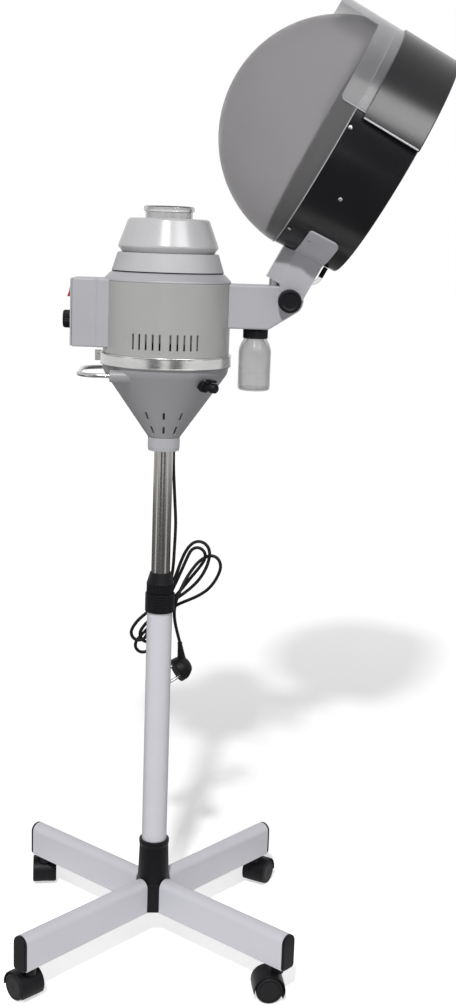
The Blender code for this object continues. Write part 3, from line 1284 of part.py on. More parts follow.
def build_head(root):
    head = empty("head", root, (0, 0, HEAD_HEIGHT))
    build_collar(head)
    build_funnel(head)
    build_housing(head)
    build_boiler(head)
    build_tank(head)
    build_controls(head)
    build_handle(head)
    build_tap(head)
    build_arm(head)
    build_bottle(head)
    build_tilt_lock(head)
    build_cord(head)
    hood = empty("hood", head, (PIVOT_X, 0, PIVOT_Z), (0, HOOD_TILT, 0))
    build_hood_shell(hood)
    build_visor(hood)
    build_yoke(hood)
    build_hood_fittings(hood)


clear_scene()
stand_root = empty("root", None, (0, 0, -LEG_BOTTOM))
build_base(stand_root)
build_stand(stand_root)
build_mast(stand_root)
build_head(stand_root)
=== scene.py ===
# %% [markdown]
# # A hair steamer on a rolling stand
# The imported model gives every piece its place, its size and its joint. This lesson dresses it:
# smooth shapes, rounded edges, small fittings and surface finishes, each of them riding on the
# body that moves it.

# %% Load the frame
import json
import math

import bmesh
import bpy
from mathutils import Matrix, Vector

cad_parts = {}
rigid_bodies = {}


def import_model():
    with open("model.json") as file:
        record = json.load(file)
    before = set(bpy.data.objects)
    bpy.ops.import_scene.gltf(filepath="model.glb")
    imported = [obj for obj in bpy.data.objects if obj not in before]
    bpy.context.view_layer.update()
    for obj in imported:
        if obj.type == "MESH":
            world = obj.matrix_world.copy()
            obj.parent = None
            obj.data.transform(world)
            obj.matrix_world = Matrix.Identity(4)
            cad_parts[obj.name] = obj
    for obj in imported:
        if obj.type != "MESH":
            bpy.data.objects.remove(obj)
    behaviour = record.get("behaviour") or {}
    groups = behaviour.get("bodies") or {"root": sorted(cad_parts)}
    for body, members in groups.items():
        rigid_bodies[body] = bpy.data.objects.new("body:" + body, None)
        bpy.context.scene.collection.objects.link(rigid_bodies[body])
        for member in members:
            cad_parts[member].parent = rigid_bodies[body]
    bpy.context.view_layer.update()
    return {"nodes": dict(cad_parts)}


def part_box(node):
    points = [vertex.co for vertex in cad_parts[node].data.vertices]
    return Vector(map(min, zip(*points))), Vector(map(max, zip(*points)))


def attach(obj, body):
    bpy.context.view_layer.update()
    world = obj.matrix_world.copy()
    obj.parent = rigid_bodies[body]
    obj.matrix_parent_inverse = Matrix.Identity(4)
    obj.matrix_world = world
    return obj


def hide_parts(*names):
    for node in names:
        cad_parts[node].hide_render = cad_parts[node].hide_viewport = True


for leftover in list(bpy.data.objects):
    bpy.data.objects.remove(leftover, do_unlink=True)
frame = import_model()
scene = bpy.context.scene
scene.view_settings.view_transform = "Standard"
FLOOR = -0.052
HEAD = 0.722
CORNERS = ("front_right", "rear_right", "rear_left", "front_left")

# %% [markdown]
# The photograph looks slightly down at the steamer, from about two metres. A camera matrix is
# three unit vectors and a place, so the turn, the pitch and the small roll are written as vectors
# and put into the matrix columns.

# %% Camera
CAMERA_AT = Vector((0.03466, -1.98507, 1.035))
TURN, PITCH, ROLL = (math.radians(a) for a in (1.8, 11.10, 1.93))
LENS, SENSOR = 49.0, 36.0
turn = Matrix.Rotation(-TURN, 3, "Z")
ahead = turn @ Vector((0, math.cos(PITCH), -math.sin(PITCH)))
level = turn @ Vector((1, 0, 0))
above = level.cross(ahead)
right = math.cos(ROLL) * level + math.sin(ROLL) * above
upward = math.cos(ROLL) * above - math.sin(ROLL) * level
camera_data = bpy.data.cameras.new("camera")
camera_data.lens = LENS
camera_data.sensor_width = SENSOR
camera = bpy.data.objects.new("camera", camera_data)
camera.matrix_world = (Matrix.Translation(CAMERA_AT)
                       @ Matrix((right, upward, -ahead)).transposed().to_4x4())
scene.collection.objects.link(camera)
scene.camera = camera
print("camera looks along", [round(v, 3) for v in ahead])

# %% [markdown]
# Moulded plastic, paint, rubber and metal all need a colour that drifts a little, a roughness that
# isn't even and a fine grain. One function builds that from two noise textures on Object
# coordinates, and each finish sets its own scale, stretch and strength. Values that are the same
# all over go straight on the shader's sockets. A clear wall is denser where it is seen edge-on, as
# the eye looks through more of it there, so a second function changes one value with the angle.

# %% How a finish is made
FINISH = {}
NOISE_LOW, NOISE_HIGH = 0.3, 0.7
FINE_DETAIL, BROAD_DETAIL = 3.0, 4.0
SMOOTHEST = 0.02
GRAIN_DEPTH = 0.0003
EDGE_STARTS, EDGE_FULL = 0.25, 0.95


def set_inputs(target, **values):
    """Sets a shader node's inputs, with underscores for the spaces in their names."""
    for label, value in values.items():
        target.inputs[label.replace("_", " ")].default_value = value


def node(tree, kind, **values):
    """Adds a shader node with its inputs set."""
    made = tree.nodes.new(f"ShaderNode{kind}")
    set_inputs(made, **values)
    return made


def surface(name, colour, roughness, metallic=0.0, grain=900.0, bump=0.06, drift=0.05,
            spread=0.06, stretch=(1, 1, 1), patch=14.0, slot=None, **sockets):
    """A finish with a drifting colour, an uneven gloss and a fine grain."""
    material = bpy.data.materials.new(name)
    material.use_nodes = True
    tree = material.node_tree
    link = tree.links.new
    shader = tree.nodes["Principled BSDF"]
    coords = node(tree, "TexCoord")
    mapping = node(tree, "Mapping", Scale=stretch)
    link(coords.outputs["Object"], mapping.inputs["Vector"])
    fine = node(tree, "TexNoise", Scale=grain, Detail=FINE_DETAIL)
    link(mapping.outputs["Vector"], fine.inputs["Vector"])
    broad = node(tree, "TexNoise", Scale=patch, Detail=BROAD_DETAIL)
    link(mapping.outputs["Vector"], broad.inputs["Vector"])
    tint = node(tree, "ValToRGB")
    for stop, sign, place in ((0, -1, NOISE_LOW), (1, 1, NOISE_HIGH)):
        tint.color_ramp.elements[stop].position = place
        tint.color_ramp.elements[stop].color = [c * (1 + sign * drift) for c in colour] + [1]
    link(broad.outputs["Fac"], tint.inputs["Fac"])
    link(tint.outputs["Color"], shader.inputs["Base Color"])
    gloss = node(tree, "MapRange", From_Min=NOISE_LOW, From_Max=NOISE_HIGH,
                 To_Min=max(roughness - spread, SMOOTHEST), To_Max=roughness + spread)
    link(fine.outputs["Fac"], gloss.inputs["Value"])
    link(gloss.outputs["Result"], shader.inputs["Roughness"])
    relief = node(tree, "Bump", Strength=bump, Distance=GRAIN_DEPTH)
    link(fine.outputs["Fac"], relief.inputs["Height"])
    link(relief.outputs["Normal"], shader.inputs["Normal"])
    set_inputs(shader, Metallic=metallic, **sockets)
    FINISH[name] = material


def edge_on(name, socket, facing, grazing):
    """Changes a value from where a clear wall is seen face-on to where it is seen edge-on."""
    tree = FINISH[name].node_tree
    weight = node(tree, "LayerWeight", Blend=0.5)
    change = node(tree, "MapRange", From_Min=EDGE_STARTS, From_Max=EDGE_FULL,
                  To_Min=facing, To_Max=grazing)
    tree.links.new(weight.outputs["Facing"], change.inputs["Value"])
    tree.links.new(change.outputs["Result"], tree.nodes["Principled BSDF"].inputs[socket])


print("a finish varies where its noise is between", NOISE_LOW, "and", NOISE_HIGH)

# %% [markdown]
# The steamer is white paint, black and grey plastic, bright metal and clear plastic. Drawn tube and
# rolled strap have their grain stretched along the metal. On the chrome the stretched colour drift
# is partly draw marks and partly painted reflection streaks. The smoke-tinted dome could be partly
# transparent, but rough transmission that hardly bends light gives the same view with less noise.

# %% Finishes
surface("white_paint", (0.645, 0.643, 0.690), 0.34, grain=420.0, bump=0.05, drift=0.02)
surface("black_plastic", (0.0074, 0.0066, 0.0082), 0.42, grain=1500.0, bump=0.16, drift=0.18,
        Specular_IOR_Level=0.12)
surface("black_gloss", (0.0080, 0.0072, 0.0088), 0.22, grain=700.0, bump=0.02, drift=0.15,
        spread=0.04, Specular_IOR_Level=0.30)
surface("dark_rubber", (0.0070, 0.0062, 0.0074), 0.55, grain=1100.0, bump=0.20, drift=0.20,
        Specular_IOR_Level=0.20)
# The chrome's strong colour drift in long upright streaks is partly draw marks, partly painted
# reflection streaks.
surface("chrome", (0.330, 0.318, 0.308), 0.17, 1.0, grain=260.0, bump=0.02, drift=0.18,
        spread=0.05, stretch=(1, 1, 0.04), patch=150.0)
surface("handle_chrome", (0.43, 0.43, 0.44), 0.14, 1.0, grain=500.0, bump=0.02, drift=0.04,
        spread=0.04, slot="chrome")
surface("steel", (0.54, 0.54, 0.535), 0.24, 1.0, grain=420.0, bump=0.02, drift=0.05, spread=0.06,
        stretch=(0.06, 0.06, 1), patch=90.0)
surface("aluminium", (0.62, 0.62, 0.63), 0.36, 1.0, grain=600.0, bump=0.08, drift=0.06)
surface("funnel_grey", (0.300, 0.294, 0.308), 0.42, grain=1200.0, bump=0.10, drift=0.03)
surface("housing_grey", (0.372, 0.376, 0.364), 0.36, grain=520.0, bump=0.06, drift=0.02)
surface("light_grey", (0.405, 0.405, 0.430), 0.40, grain=1300.0, bump=0.10, drift=0.03)
surface("silver", (0.48, 0.48, 0.495), 0.55, grain=1600.0, bump=0.08, drift=0.05,
        Specular_IOR_Level=0.30)
surface("pearl", (0.50, 0.50, 0.51), 0.28, grain=800.0, bump=0.04, drift=0.03)
surface("smoke", (0.522, 0.514, 0.522), 0.30, grain=40.0, bump=0.0, drift=0.02, spread=0.02,
        patch=9.0, Transmission_Weight=0.87, IOR=1.03, Specular_IOR_Level=0.3)
surface("clear", (0.42, 0.42, 0.44), 0.16, grain=300.0, bump=0.01, drift=0.04, spread=0.03)
edge_on("clear", "Alpha", 0.17, 0.75)
# A pale finish for thin rods and beads that paint highlights along the hood's edges.
surface("painted_highlight", (0.50, 0.50, 0.52), 0.20, grain=300.0, bump=0.01, drift=0.04, spread=0.03,
        slot="clear")
surface("milky", (0.36, 0.355, 0.365), 0.22, grain=300.0, bump=0.03, drift=0.05, slot="clear")
edge_on("milky", "Alpha", 0.31, 0.62)
surface("clear_glass", (0.66, 0.67, 0.66), 0.04, grain=60.0, bump=0.02, drift=0.02, spread=0.02,
        Transmission_Weight=1.0, IOR=1.46)
edge_on("clear_glass", "Base Color", 0.66, 0.15)
surface("red", (0.36, 0.016, 0.020), 0.28, grain=700.0, bump=0.03, drift=0.08)
print("finishes:", ", ".join(sorted(FINISH)))

# %% [markdown]
# Every piece needs a finish, the body that moves it and the solids that it stands for, so one
# function settles all of that. A small rounding next to a large wall tilts the wall's smooth
# normals and crumples its reflections. Splitting the edges would help, but weighted normals keep
# the shading smooth and let the large faces lead.

# %% Finishing a piece
MERGE = 1e-6
PIECES = []


def settle(name, data, finish, body, nodes=()):
    """Gives a mesh or curve its finish, its body and the CAD nodes it stands for."""
    data.materials.append(FINISH[finish])
    obj = bpy.data.objects.new(name, data)
    scene.collection.objects.link(obj)
    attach(obj, body)
    if nodes:
        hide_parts(*nodes)
    PIECES.append(obj)
    return obj


def piece(name, bm, finish, body, nodes=(), place=None, sharp=40.0):
    """Turns a bmesh into a finished piece, smooth apart from edges sharper than an angle."""
    bmesh.ops.remove_doubles(bm, verts=bm.verts[:], dist=MERGE)
    if place is not None:
        bmesh.ops.transform(bm, matrix=place, verts=bm.verts[:])
    bmesh.ops.recalc_face_normals(bm, faces=bm.faces[:])
    mesh = bpy.data.meshes.new(name)
    bm.to_mesh(mesh)
    bm.free()
    mesh.shade_smooth()
    mesh.set_sharp_from_angle(angle=math.radians(sharp))
    obj = settle(name, mesh, finish, body, nodes)
    shading = obj.modifiers.new("even_shading", "WEIGHTED_NORMAL")
    shading.keep_sharp = True
    return obj


print("points closer than", MERGE, "m are merged")

# %% [markdown]
# Most pieces here are turned on an axis, as on a lathe. An outline's point may carry a rounding: a
# vertex bevel on the wire makes the arc before spin makes the shape. That costs less than rounding
# the finished solid, and the rounding is the same all the way round.

# %% Turned shapes
FULL_TURN = 360.0
SHELL_STEPS, TUBE_STEPS = 144, 72


def rounded(bm, geom, width, segments, affect="EDGES"):
    """Rounds edges of a solid, or corners of a wire or sheet, with an arc."""
    bmesh.ops.bevel(bm, geom=geom, offset=width, offset_type="OFFSET", segments=segments,
                    profile=0.5, affect=affect, clamp_overlap=affect == "EDGES", material=-1)


def round_corners(bm, corners, segments=4):
    """Rounds the corners of a wire. Each corner is a vertex and its rounding."""
    for size in sorted({size for _, size in corners}):
        rounded(bm, [vert for vert, own in corners if own == size], size, segments, "VERTICES")


def spun(bm, geom, axis, angle, steps):
    """Spins points and edges about Z or X."""
    bmesh.ops.spin(bm, geom=geom, cent=(0, 0, 0), dvec=(0, 0, 0), angle=math.radians(angle),
                   axis=(0, 0, 1) if axis == "Z" else (1, 0, 0), steps=steps,
                   use_merge=angle == FULL_TURN, use_duplicate=False)


def turned(outline, steps, axis="Z", start=0.0, angle=FULL_TURN):
    """Spins (radius, along, rounding) points. Ends on the axis leave the outline open."""
    bm = bmesh.new()
    verts = [bm.verts.new((p[0], 0, p[1]) if axis == "Z" else (p[1], 0, p[0])) for p in outline]
    ends_on_axis = outline[0][0] == 0 and outline[-1][0] == 0
    for pair in zip(verts, verts[1:] + ([] if ends_on_axis else verts[:1])):
        bm.edges.new(pair)
    round_corners(bm, [(v, p[2]) for v, p in zip(verts, outline) if len(p) > 2])
    bmesh.ops.rotate(bm, verts=bm.verts[:], cent=(0, 0, 0),
                     matrix=Matrix.Rotation(math.radians(start), 3, axis))
    spun(bm, bm.verts[:] + bm.edges[:], axis, angle, steps)
    if angle != FULL_TURN:
        bmesh.ops.holes_fill(bm, edges=[e for e in bm.edges if e.is_boundary], sides=0)
    bmesh.ops.remove_doubles(bm, verts=bm.verts[:], dist=MERGE)
    return bm


def drum(radius, low, high, steps):
    """A plain round bar."""
    return turned([(0, high), (radius, high), (radius, low), (0, low)], steps)


def pipe(inside, outside, top, bottom, rounding, steps):
    """A straight pipe whose outer top edge is rounded."""
    return turned([(inside, top), (outside, top, rounding), (outside, bottom), (inside, bottom)],
                  steps)


print("a turned shell has", SHELL_STEPS, "steps, a tube", TUBE_STEPS)

# %% [markdown]
# Shapes are drawn at the origin and then put in their place, so the numbers of an outline stay
# small and readable. These functions turn, move and join them, and give points of a circle.

# %% Placing and joining
def about(axis, degrees):
    return Matrix.Rotation(math.radians(degrees), 4, axis)


def along_x(x=0.0, y=0.0, z=0.0):
    return Matrix.Translation((x, y, z)) @ about("Y", 90)


def along_y(x=0.0, y=0.0, z=0.0):
    return Matrix.Translation((x, y, z)) @ about("X", 90)


def moved(bm, matrix):
    bmesh.ops.transform(bm, matrix=matrix, verts=bm.verts[:])
    return bm


def joined(*parts):
    """One bmesh from several."""
    whole = bmesh.new()
    for part in parts:
        carrier = bpy.data.meshes.new("carrier")
        part.to_mesh(carrier)
        part.free()
        whole.from_mesh(carrier)
        bpy.data.meshes.remove(carrier)
    return whole


def arc(middle, radius, angles):
    """Points of a circle at the given angles."""
    return [(middle[0] + radius * math.cos(a), middle[1] + radius * math.sin(a))
            for a in map(math.radians, angles)]


ON_HEAD = Matrix.Translation((0, 0, HEAD))
print("the head's pieces are drawn from", HEAD, "m up")

# %% [markdown]
# Cords, rods and hoses are curves with a round bevel: only their middle line is drawn. A
# Catmull-Rom curve passes through every given point, and a few relaxing passes even out its bends.

# %% Curves
def tube(name, points, radius, finish, body, nodes=(), rings=4):
    """A round rod or cord along points, as a curve of one open spline."""
    curve = bpy.data.curves.new(name, "CURVE")
    curve.dimensions = "3D"
    curve.bevel_depth = radius
    curve.bevel_resolution = rings
    curve.use_fill_caps = True
    spline = curve.splines.new("POLY")
    spline.points.add(len(points) - 1)
    for target, point in zip(spline.points, points):
        target.co = (*point, 1)
    spline.use_smooth = True
    return settle(name, curve, finish, body, nodes)


def flowing(points, per_span):
    """Points along a Catmull-Rom curve through the given ones."""
    path = [Vector(p) for p in points]
    ends = [2 * path[0] - path[1]] + path + [2 * path[-1] - path[-2]]
    made = []
    for a, b, c, d in zip(ends, ends[1:], ends[2:], ends[3:]):
        for k in range(per_span):
            t = k / per_span
            made.append((2 * b + (c - a) * t + (2 * a - 5 * b + 4 * c - d) * t**2
                         + (3 * b - a - 3 * c + d) * t**3) / 2)
    return made + [path[-1]]


def relaxed(path, passes):
    """The same path with its bends evened out, as a springy cord lies. The ends stay."""
    for _ in range(passes):
        middle = [(a + 2 * b + c) / 4 for a, b, c in zip(path, path[1:], path[2:])]
        path = path[:1] + middle + path[-1:]
    return path


corner_path = flowing([(0, 0, 0), (1, 0, 0), (1, 1, 0)], 4)
print("a bend through three points gets", len(corner_path), "points")

# %% [markdown]
# The cord leaves its gland beside the collar, hangs beside the mast and is gathered behind the lock
# in loops of different sizes, which pass behind the tube and show on both sides. One smooth curve
# follows it end to end, in layers one cord thick. Places are millimetres, heights are above the
# floor.

# %% Cord
CORD_RADIUS = 0.0025
CORD_STEPS, CORD_PASSES = 8, 16
CORD_ROUTE = [
    (14.5, 27.0, 776.7), (14.6, 27.2, 762), (15.3, 27.8, 738), (17.0, 28.4, 713),
    (18.4, 28.8, 691), (20.3, 29.4, 664), (20.2, 29.6, 641), (19.4, 29.2, 618), (18.6, 28.6, 595),
    (16.0, 28.0, 573), (8.5, 27.8, 552), (-4.5, 27.8, 534), (-20, 28.0, 518.5), (-33, 28.2, 506.5),
    (-40.9, 28.6, 494.5), (-43.2, 29.0, 487), (-41.5, 29.6, 480.2), (-37, 30.2, 475.4),
    (-30.8, 30.8, 473.8), (-24.6, 31.4, 475.6), (-20.2, 31.8, 480.6), (-17.8, 32.2, 487.5),
    (-13.6, 32.8, 502), (-6, 32.8, 521.5), (4, 32.8, 541), (14, 32.8, 558), (22.5, 32.8, 576),
    (28.5, 32.8, 595), (34.5, 32.8, 610.5), (40.5, 32.8, 621), (47.5, 32.8, 628.2),
    (56, 32.8, 630.8), (64.5, 32.8, 628.2), (70.6, 32.8, 621.6), (73, 32.8, 613), (72, 32.8, 602.5),
    (68, 32.8, 589), (58.5, 32.8, 571.5), (43, 32.8, 555), (25, 32.8, 541), (9, 33.4, 527.5),
    (-6, 37.2, 513.5), (-19, 38.6, 501), (-27.6, 38.6, 490), (-30, 38.6, 482.5),
    (-28.6, 38.6, 475.6), (-24, 38.6, 470.7), (-17.8, 38.6, 469), (-11.6, 38.6, 470.8),
    (-7, 38.6, 476), (-4.2, 38.6, 484), (0.6, 38.6, 504), (8, 38.6, 529), (19, 38.4, 555),
    (30, 38.2, 581), (38, 38.2, 601), (42.8, 38.2, 612), (47.4, 38.2, 617.6), (53.8, 38.2, 619.9),
    (60.2, 38.2, 618), (64.9, 38.4, 613.2), (66.6, 38.6, 606.8), (65, 39.0, 599.8),
    (58.5, 39.6, 589), (46, 40.8, 572.5), (32, 42.4, 553), (17, 43.8, 535), (3, 44.0, 517),
    (-9, 44.0, 500), (-21, 44.0, 486), (-32.4, 44.2, 473.5), (-36.3, 44.4, 466),
    (-36.8, 44.8, 459.4), (-33.6, 45.2, 453.6), (-28, 45.6, 450.6), (-21.6, 46.0, 450.8),
    (-15.6, 46.5, 454.4), (-10.6, 47.0, 461.5), (-4, 47.8, 478), (3, 48.8, 497), (11, 49.2, 513),
    (24, 49.2, 525.5), (41, 48.8, 533.5), (57, 47.6, 541.5), (72, 45.6, 552.5), (83, 43.8, 567.5),
    (89.5, 43.0, 583), (90.3, 43.0, 592.5), (87, 43.3, 600.8), (80, 43.8, 605.8), (71, 44.5, 605.6),
    (58.5, 45.4, 598), (46.4, 43.6, 583), (37.6, 38.8, 569), (30.6, 32.4, 555), (25, 27.9, 541),
    (22.0, 27.7, 527), (22.0, 29.4, 513), (24.2, 31.6, 499), (27.6, 34.2, 485), (31.2, 36.0, 471.4),
]
route = flowing([(x / 1000, y / 1000, z / 1000 + FLOOR) for x, y, z in CORD_ROUTE], CORD_STEPS)
route = relaxed(route, CORD_PASSES)
cord = tube("power_cord", route, CORD_RADIUS, "dark_rubber", "head",
            ("cord_drop", "cord_hank", "cord_tail"))

# %% [markdown]
# A ribbed gland holds the cord where it leaves the head, and a ribbed sleeve where it enters the
# round plug. The ribs are steps in a turned outline. The plug hangs with a lean, so its two pins
# show from the front.

# %% Gland and plug
RIBS = 6
GLAND = Matrix.Translation((0.0145, 0.027, HEAD))
gland_outline = [(0, 0.041), (0.005, 0.041, 0.0004), (0.005, 0.021)]
for k in range(RIBS):
    low, taper = 0.019 - 0.0026 * k, 0.0002 * k
    gland_outline += [(0.0049 - taper, low), (0.0042 - taper, low - 0.0004),
                      (0.0042 - taper, low - 0.0012), (0.0048 - taper, low - 0.0016)]
gland_outline += [(0.0036, 0.003, 0.0003), (0, 0.003)]
piece("cord_strain_relief", turned(gland_outline, 32), "dark_rubber", "head", ("cord_gland",),
      GLAND)

PLUG_MIDDLE = Vector((0.0365, 0.036, HEAD - 0.343))
PLUG_TURN, PLUG_TIP = 25, -25
PLUG_LEAN = Matrix.Translation(PLUG_MIDDLE) @ about("Z", PLUG_TURN) @ about("Y", PLUG_TIP)
plug_case = turned([(0, 0.0125), (0.0095, 0.0125, 0.004), (0.0180, 0.0015, 0.006),
                    (0.0185, -0.004, 0.002), (0.0185, -0.0125, 0.0018), (0, -0.0125)], 64)
relief_down = PLUG_MIDDLE - route[-1]
relief_end = relief_down.length - 0.004
relief_outline = [(0, 0.0003), (0.0036, 0.0003, 0.0005)]
for k in range(RIBS):
    low, wide = 0.004 + 0.0032 * k, 0.0038 + 0.0004 * k
    relief_outline += [(wide, low), (wide - 0.0006, low + 0.0004),
                       (wide - 0.0006, low + 0.0012), (wide, low + 0.0016)]
relief_outline += [(0.0070, 0.028), (0.0078, relief_end), (0, relief_end)]
plug_relief = moved(turned(relief_outline, 40), Matrix.Translation(route[-1])
                    @ relief_down.to_track_quat("Z", "Y").to_matrix().to_4x4())
plug = piece("plug_body", joined(moved(plug_case, PLUG_LEAN @ along_x()), plug_relief),
             "black_plastic", "head", ("plug",))
PIN_OUTLINE = [(0, -0.0312), (0.0024, -0.0312, 0.0014), (0.0024, -0.012), (0, -0.012)]
pins = [moved(turned(PIN_OUTLINE, 24), PLUG_LEAN @ along_x(0, 0.0033 * side, 0.0090 * side))
        for side in (-1, 1)]
plug_pins = piece("plug_pins", joined(*pins), "steel", "head")
print("plug hangs at", [round(v, 3) for v in PLUG_MIDDLE])

# %% [markdown]
# The studio is white. The world lights from all sides at a plain level, and it is plain white to
# the camera, to metal and to glass, so the background is white without more light on the object.

# %% World light
WHITE = (1, 1, 1, 1)
WORLD_LIGHT = 0.29
world = bpy.data.worlds.new("studio")
world.use_nodes = True
scene.world = world
sky = world.node_tree
background = sky.nodes["Background"]
set_inputs(background, Color=WHITE)


def combined(tree, operation, first, second):
    """The result of a Math node on two sockets."""
    made = node(tree, "Math")
    made.operation = operation
    tree.links.new(first, made.inputs[0])
    tree.links.new(second, made.inputs[1])
    return made.outputs[0]


def seen_directly(tree):
    """A socket that is 1 for rays from the camera, from mirrors and through glass."""
    path = node(tree, "LightPath")
    total = path.outputs["Is Camera Ray"]
    for name in ("Is Glossy Ray", "Is Transmission Ray"):
        total = combined(tree, "MAXIMUM", total, path.outputs[name])
    return total


light_level = node(sky, "MapRange", To_Min=WORLD_LIGHT, To_Max=1.0)
sky.links.new(seen_directly(sky), light_level.inputs["Value"])
sky.links.new(light_level.outputs["Result"], background.inputs["Strength"])
print("world:", WORLD_LIGHT)

# %% [markdown]
# One far lamp high behind the camera makes the shadow. A wide lamp at the right could wash the
# shadow out, so it lights no matt surface and shows only as a soft streak in gloss.

# %% Lamps
def softbox(name, place, aim, size, power):
    data = bpy.data.lights.new(name, "AREA")
    data.shape = "RECTANGLE"
    data.size, data.size_y = size
    data.energy = power
    lamp = bpy.data.objects.new(name, data)
    toward = Vector(aim) - Vector(place)
    lamp.matrix_world = (Matrix.Translation(place)
                         @ toward.to_track_quat("-Z", "Y").to_matrix().to_4x4())
    scene.collection.objects.link(lamp)
    return lamp


softbox("key", place=(-0.66, -5.20, 5.46), aim=(0, 0, 0.88), size=(0.36, 0.36), power=345)
streak = softbox("streak", place=(1.27, -1.81, 2.42), aim=(0.39, -0.16, 1.27), size=(1.3, 0.9),
                 power=46)
streak.visible_diffuse = False
print("lamps: key and streak")

# %% [markdown]
# The floor has to be nearly white and still keep the shadow. Paint alone would come out grey, so it
# glows a little where the camera, metal or glass sees it, by its distance from the stand, and the
# glow lights nothing. Close round the stand it glows more: painted light that makes the legs'
# shadows there faint.

# %% Floor
# The stronger glow within 0.26 m of the stand paints light into the legs' shadows.
GLOW_BY_DISTANCE = ((0.0, 0.60), (0.26, 0.60), (0.40, 0.38), (1.0, 0.43), (2.0, 0.53), (4.0, 0.71))
GLOW_REACH = 4.0
FLOOR_HALF, FLOOR_GAP = 9.0, 0.0005
FLOOR_WHITE = (0.92, 0.92, 0.92, 1)
floor_grid = bmesh.new()
bmesh.ops.create_grid(floor_grid, x_segments=1, y_segments=1, size=FLOOR_HALF)
bmesh.ops.translate(floor_grid, verts=floor_grid.verts[:], vec=(0, 0, FLOOR - FLOOR_GAP))


def stage_piece(name, bm, paint_name, **sockets):
    """An object of the studio with a paint that never counts as a lamp."""
    mesh = bpy.data.meshes.new(name)
    bm.to_mesh(mesh)
    bm.free()
    paint = bpy.data.materials.new(paint_name)
    paint.use_nodes = True
    set_inputs(paint.node_tree.nodes["Principled BSDF"], Specular_IOR_Level=0.0,
               Emission_Color=WHITE, **sockets)
    paint.cycles.emission_sampling = "NONE"
    mesh.materials.append(paint)
    obj = bpy.data.objects.new(name, mesh)
    scene.collection.objects.link(obj)
    return obj


floor = stage_piece("floor", floor_grid, "floor_paint", Base_Color=FLOOR_WHITE, Roughness=0.9)
ground = floor.data.materials[0].node_tree
place_on_floor = node(ground, "TexCoord")
distance = node(ground, "VectorMath")
distance.operation = "LENGTH"
ground.links.new(place_on_floor.outputs["Object"], distance.inputs[0])
share = node(ground, "Math")
share.operation = "DIVIDE"
share.inputs[1].default_value = GLOW_REACH
ground.links.new(distance.outputs["Value"], share.inputs[0])
fade = node(ground, "ValToRGB")
stops = fade.color_ramp.elements
while len(stops) < len(GLOW_BY_DISTANCE):
    stops.new(0.5)
for stop, (reach, bright) in zip(stops, GLOW_BY_DISTANCE):
    stop.position = reach / GLOW_REACH
    stop.color = (bright, bright, bright, 1)
ground.links.new(share.outputs[0], fade.inputs["Fac"])
glow = combined(ground, "MULTIPLY", seen_directly(ground), fade.outputs["Color"])
ground.links.new(glow, ground.nodes["Principled BSDF"].inputs["Emission Strength"])
print("floor glows at", len(GLOW_BY_DISTANCE), "distances")

# %% [markdown]
# In a white room chrome would look white. Dark cards stand in for the dark sides of a real room: a
# ring on the floor and two panels behind the camera. They show only in gloss.

# %% Dark cards
CARD_GREY = 0.20
CARD_BLACK = (0.02, 0.02, 0.02, 1)
RING_IN, RING_OUT, RING_LIFT = 0.34, 4.0, 0.004
RING_SPANS = ((-21.0, 193.0), (211.0, 321.0))
PANEL_SPANS = ((-1.9, -0.45), (0.45, 1.9))
PANEL_BACK, PANEL_TOP = -3.3, 2.3
cards = bmesh.new()
for start, end in RING_SPANS:
    ends = [cards.verts.new((*arc((0, 0), reach, [start])[0], FLOOR + RING_LIFT))
            for reach in (RING_IN, RING_OUT)]
    spun(cards, ends + [cards.edges.new(ends)], "Z", end - start, 48)
for start, end in PANEL_SPANS:
    cards.faces.new([cards.verts.new((x, PANEL_BACK, z)) for x, z in (
        (start, 0.0), (end, 0.0), (end, PANEL_TOP), (start, PANEL_TOP))])
dark_cards = stage_piece("dark_cards", cards, "card_paint", Base_Color=CARD_BLACK,
                         Emission_Strength=CARD_GREY)
dark_cards.visible_camera = dark_cards.visible_diffuse = dark_cards.visible_transmission = False
dark_cards.visible_volume_scatter = dark_cards.visible_shadow = False
print("cards:", len(RING_SPANS), "on the floor and", len(PANEL_SPANS), "behind the camera")

# %% [markdown]
# Legs, casings and levers start as flat outlines. An outline is filled, pulled up and rounded along
# its rims. Holes that go right through a wall are cut with an exact Boolean, all of them at once.

# %% Flat shapes and cuts
def soften(bm, width, segments=3, limit=35.0):
    """Rounds every edge that is sharper than a limit."""
    bmesh.ops.recalc_face_normals(bm, faces=bm.faces[:])
    rounded(bm, [e for e in bm.edges if len(e.link_faces) == 2
                 and e.calc_face_angle() > math.radians(limit)], width, segments)
    return bm


def oblong(left, right, half, *roundings):
    """A flat oblong. The roundings are for its left and its right end."""
    near, far = roundings[:1], roundings[-1:]
    return [(left, -half, *near), (right, -half, *far), (right, half, *far), (left, half, *near)]


def slab(outline, low, high, rim=0.0):
    """Extrudes a flat outline of (x, y, rounding) points between two heights, rims rounded."""
    bm = bmesh.new()
    verts = [bm.verts.new((p[0], p[1], low)) for p in outline]
    for pair in zip(verts, verts[1:] + verts[:1]):
        bm.edges.new(pair)
    round_corners(bm, [(v, p[2]) for v, p in zip(verts, outline) if len(p) > 2], 8)
    bmesh.ops.edgeloop_fill(bm, edges=bm.edges[:])
    grown = bmesh.ops.extrude_face_region(bm, geom=bm.faces[:])
    bmesh.ops.translate(bm, verts=[g for g in grown["geom"] if isinstance(g, bmesh.types.BMVert)],
                        vec=(0, 0, high - low))
    return soften(bm, rim) if rim else bm


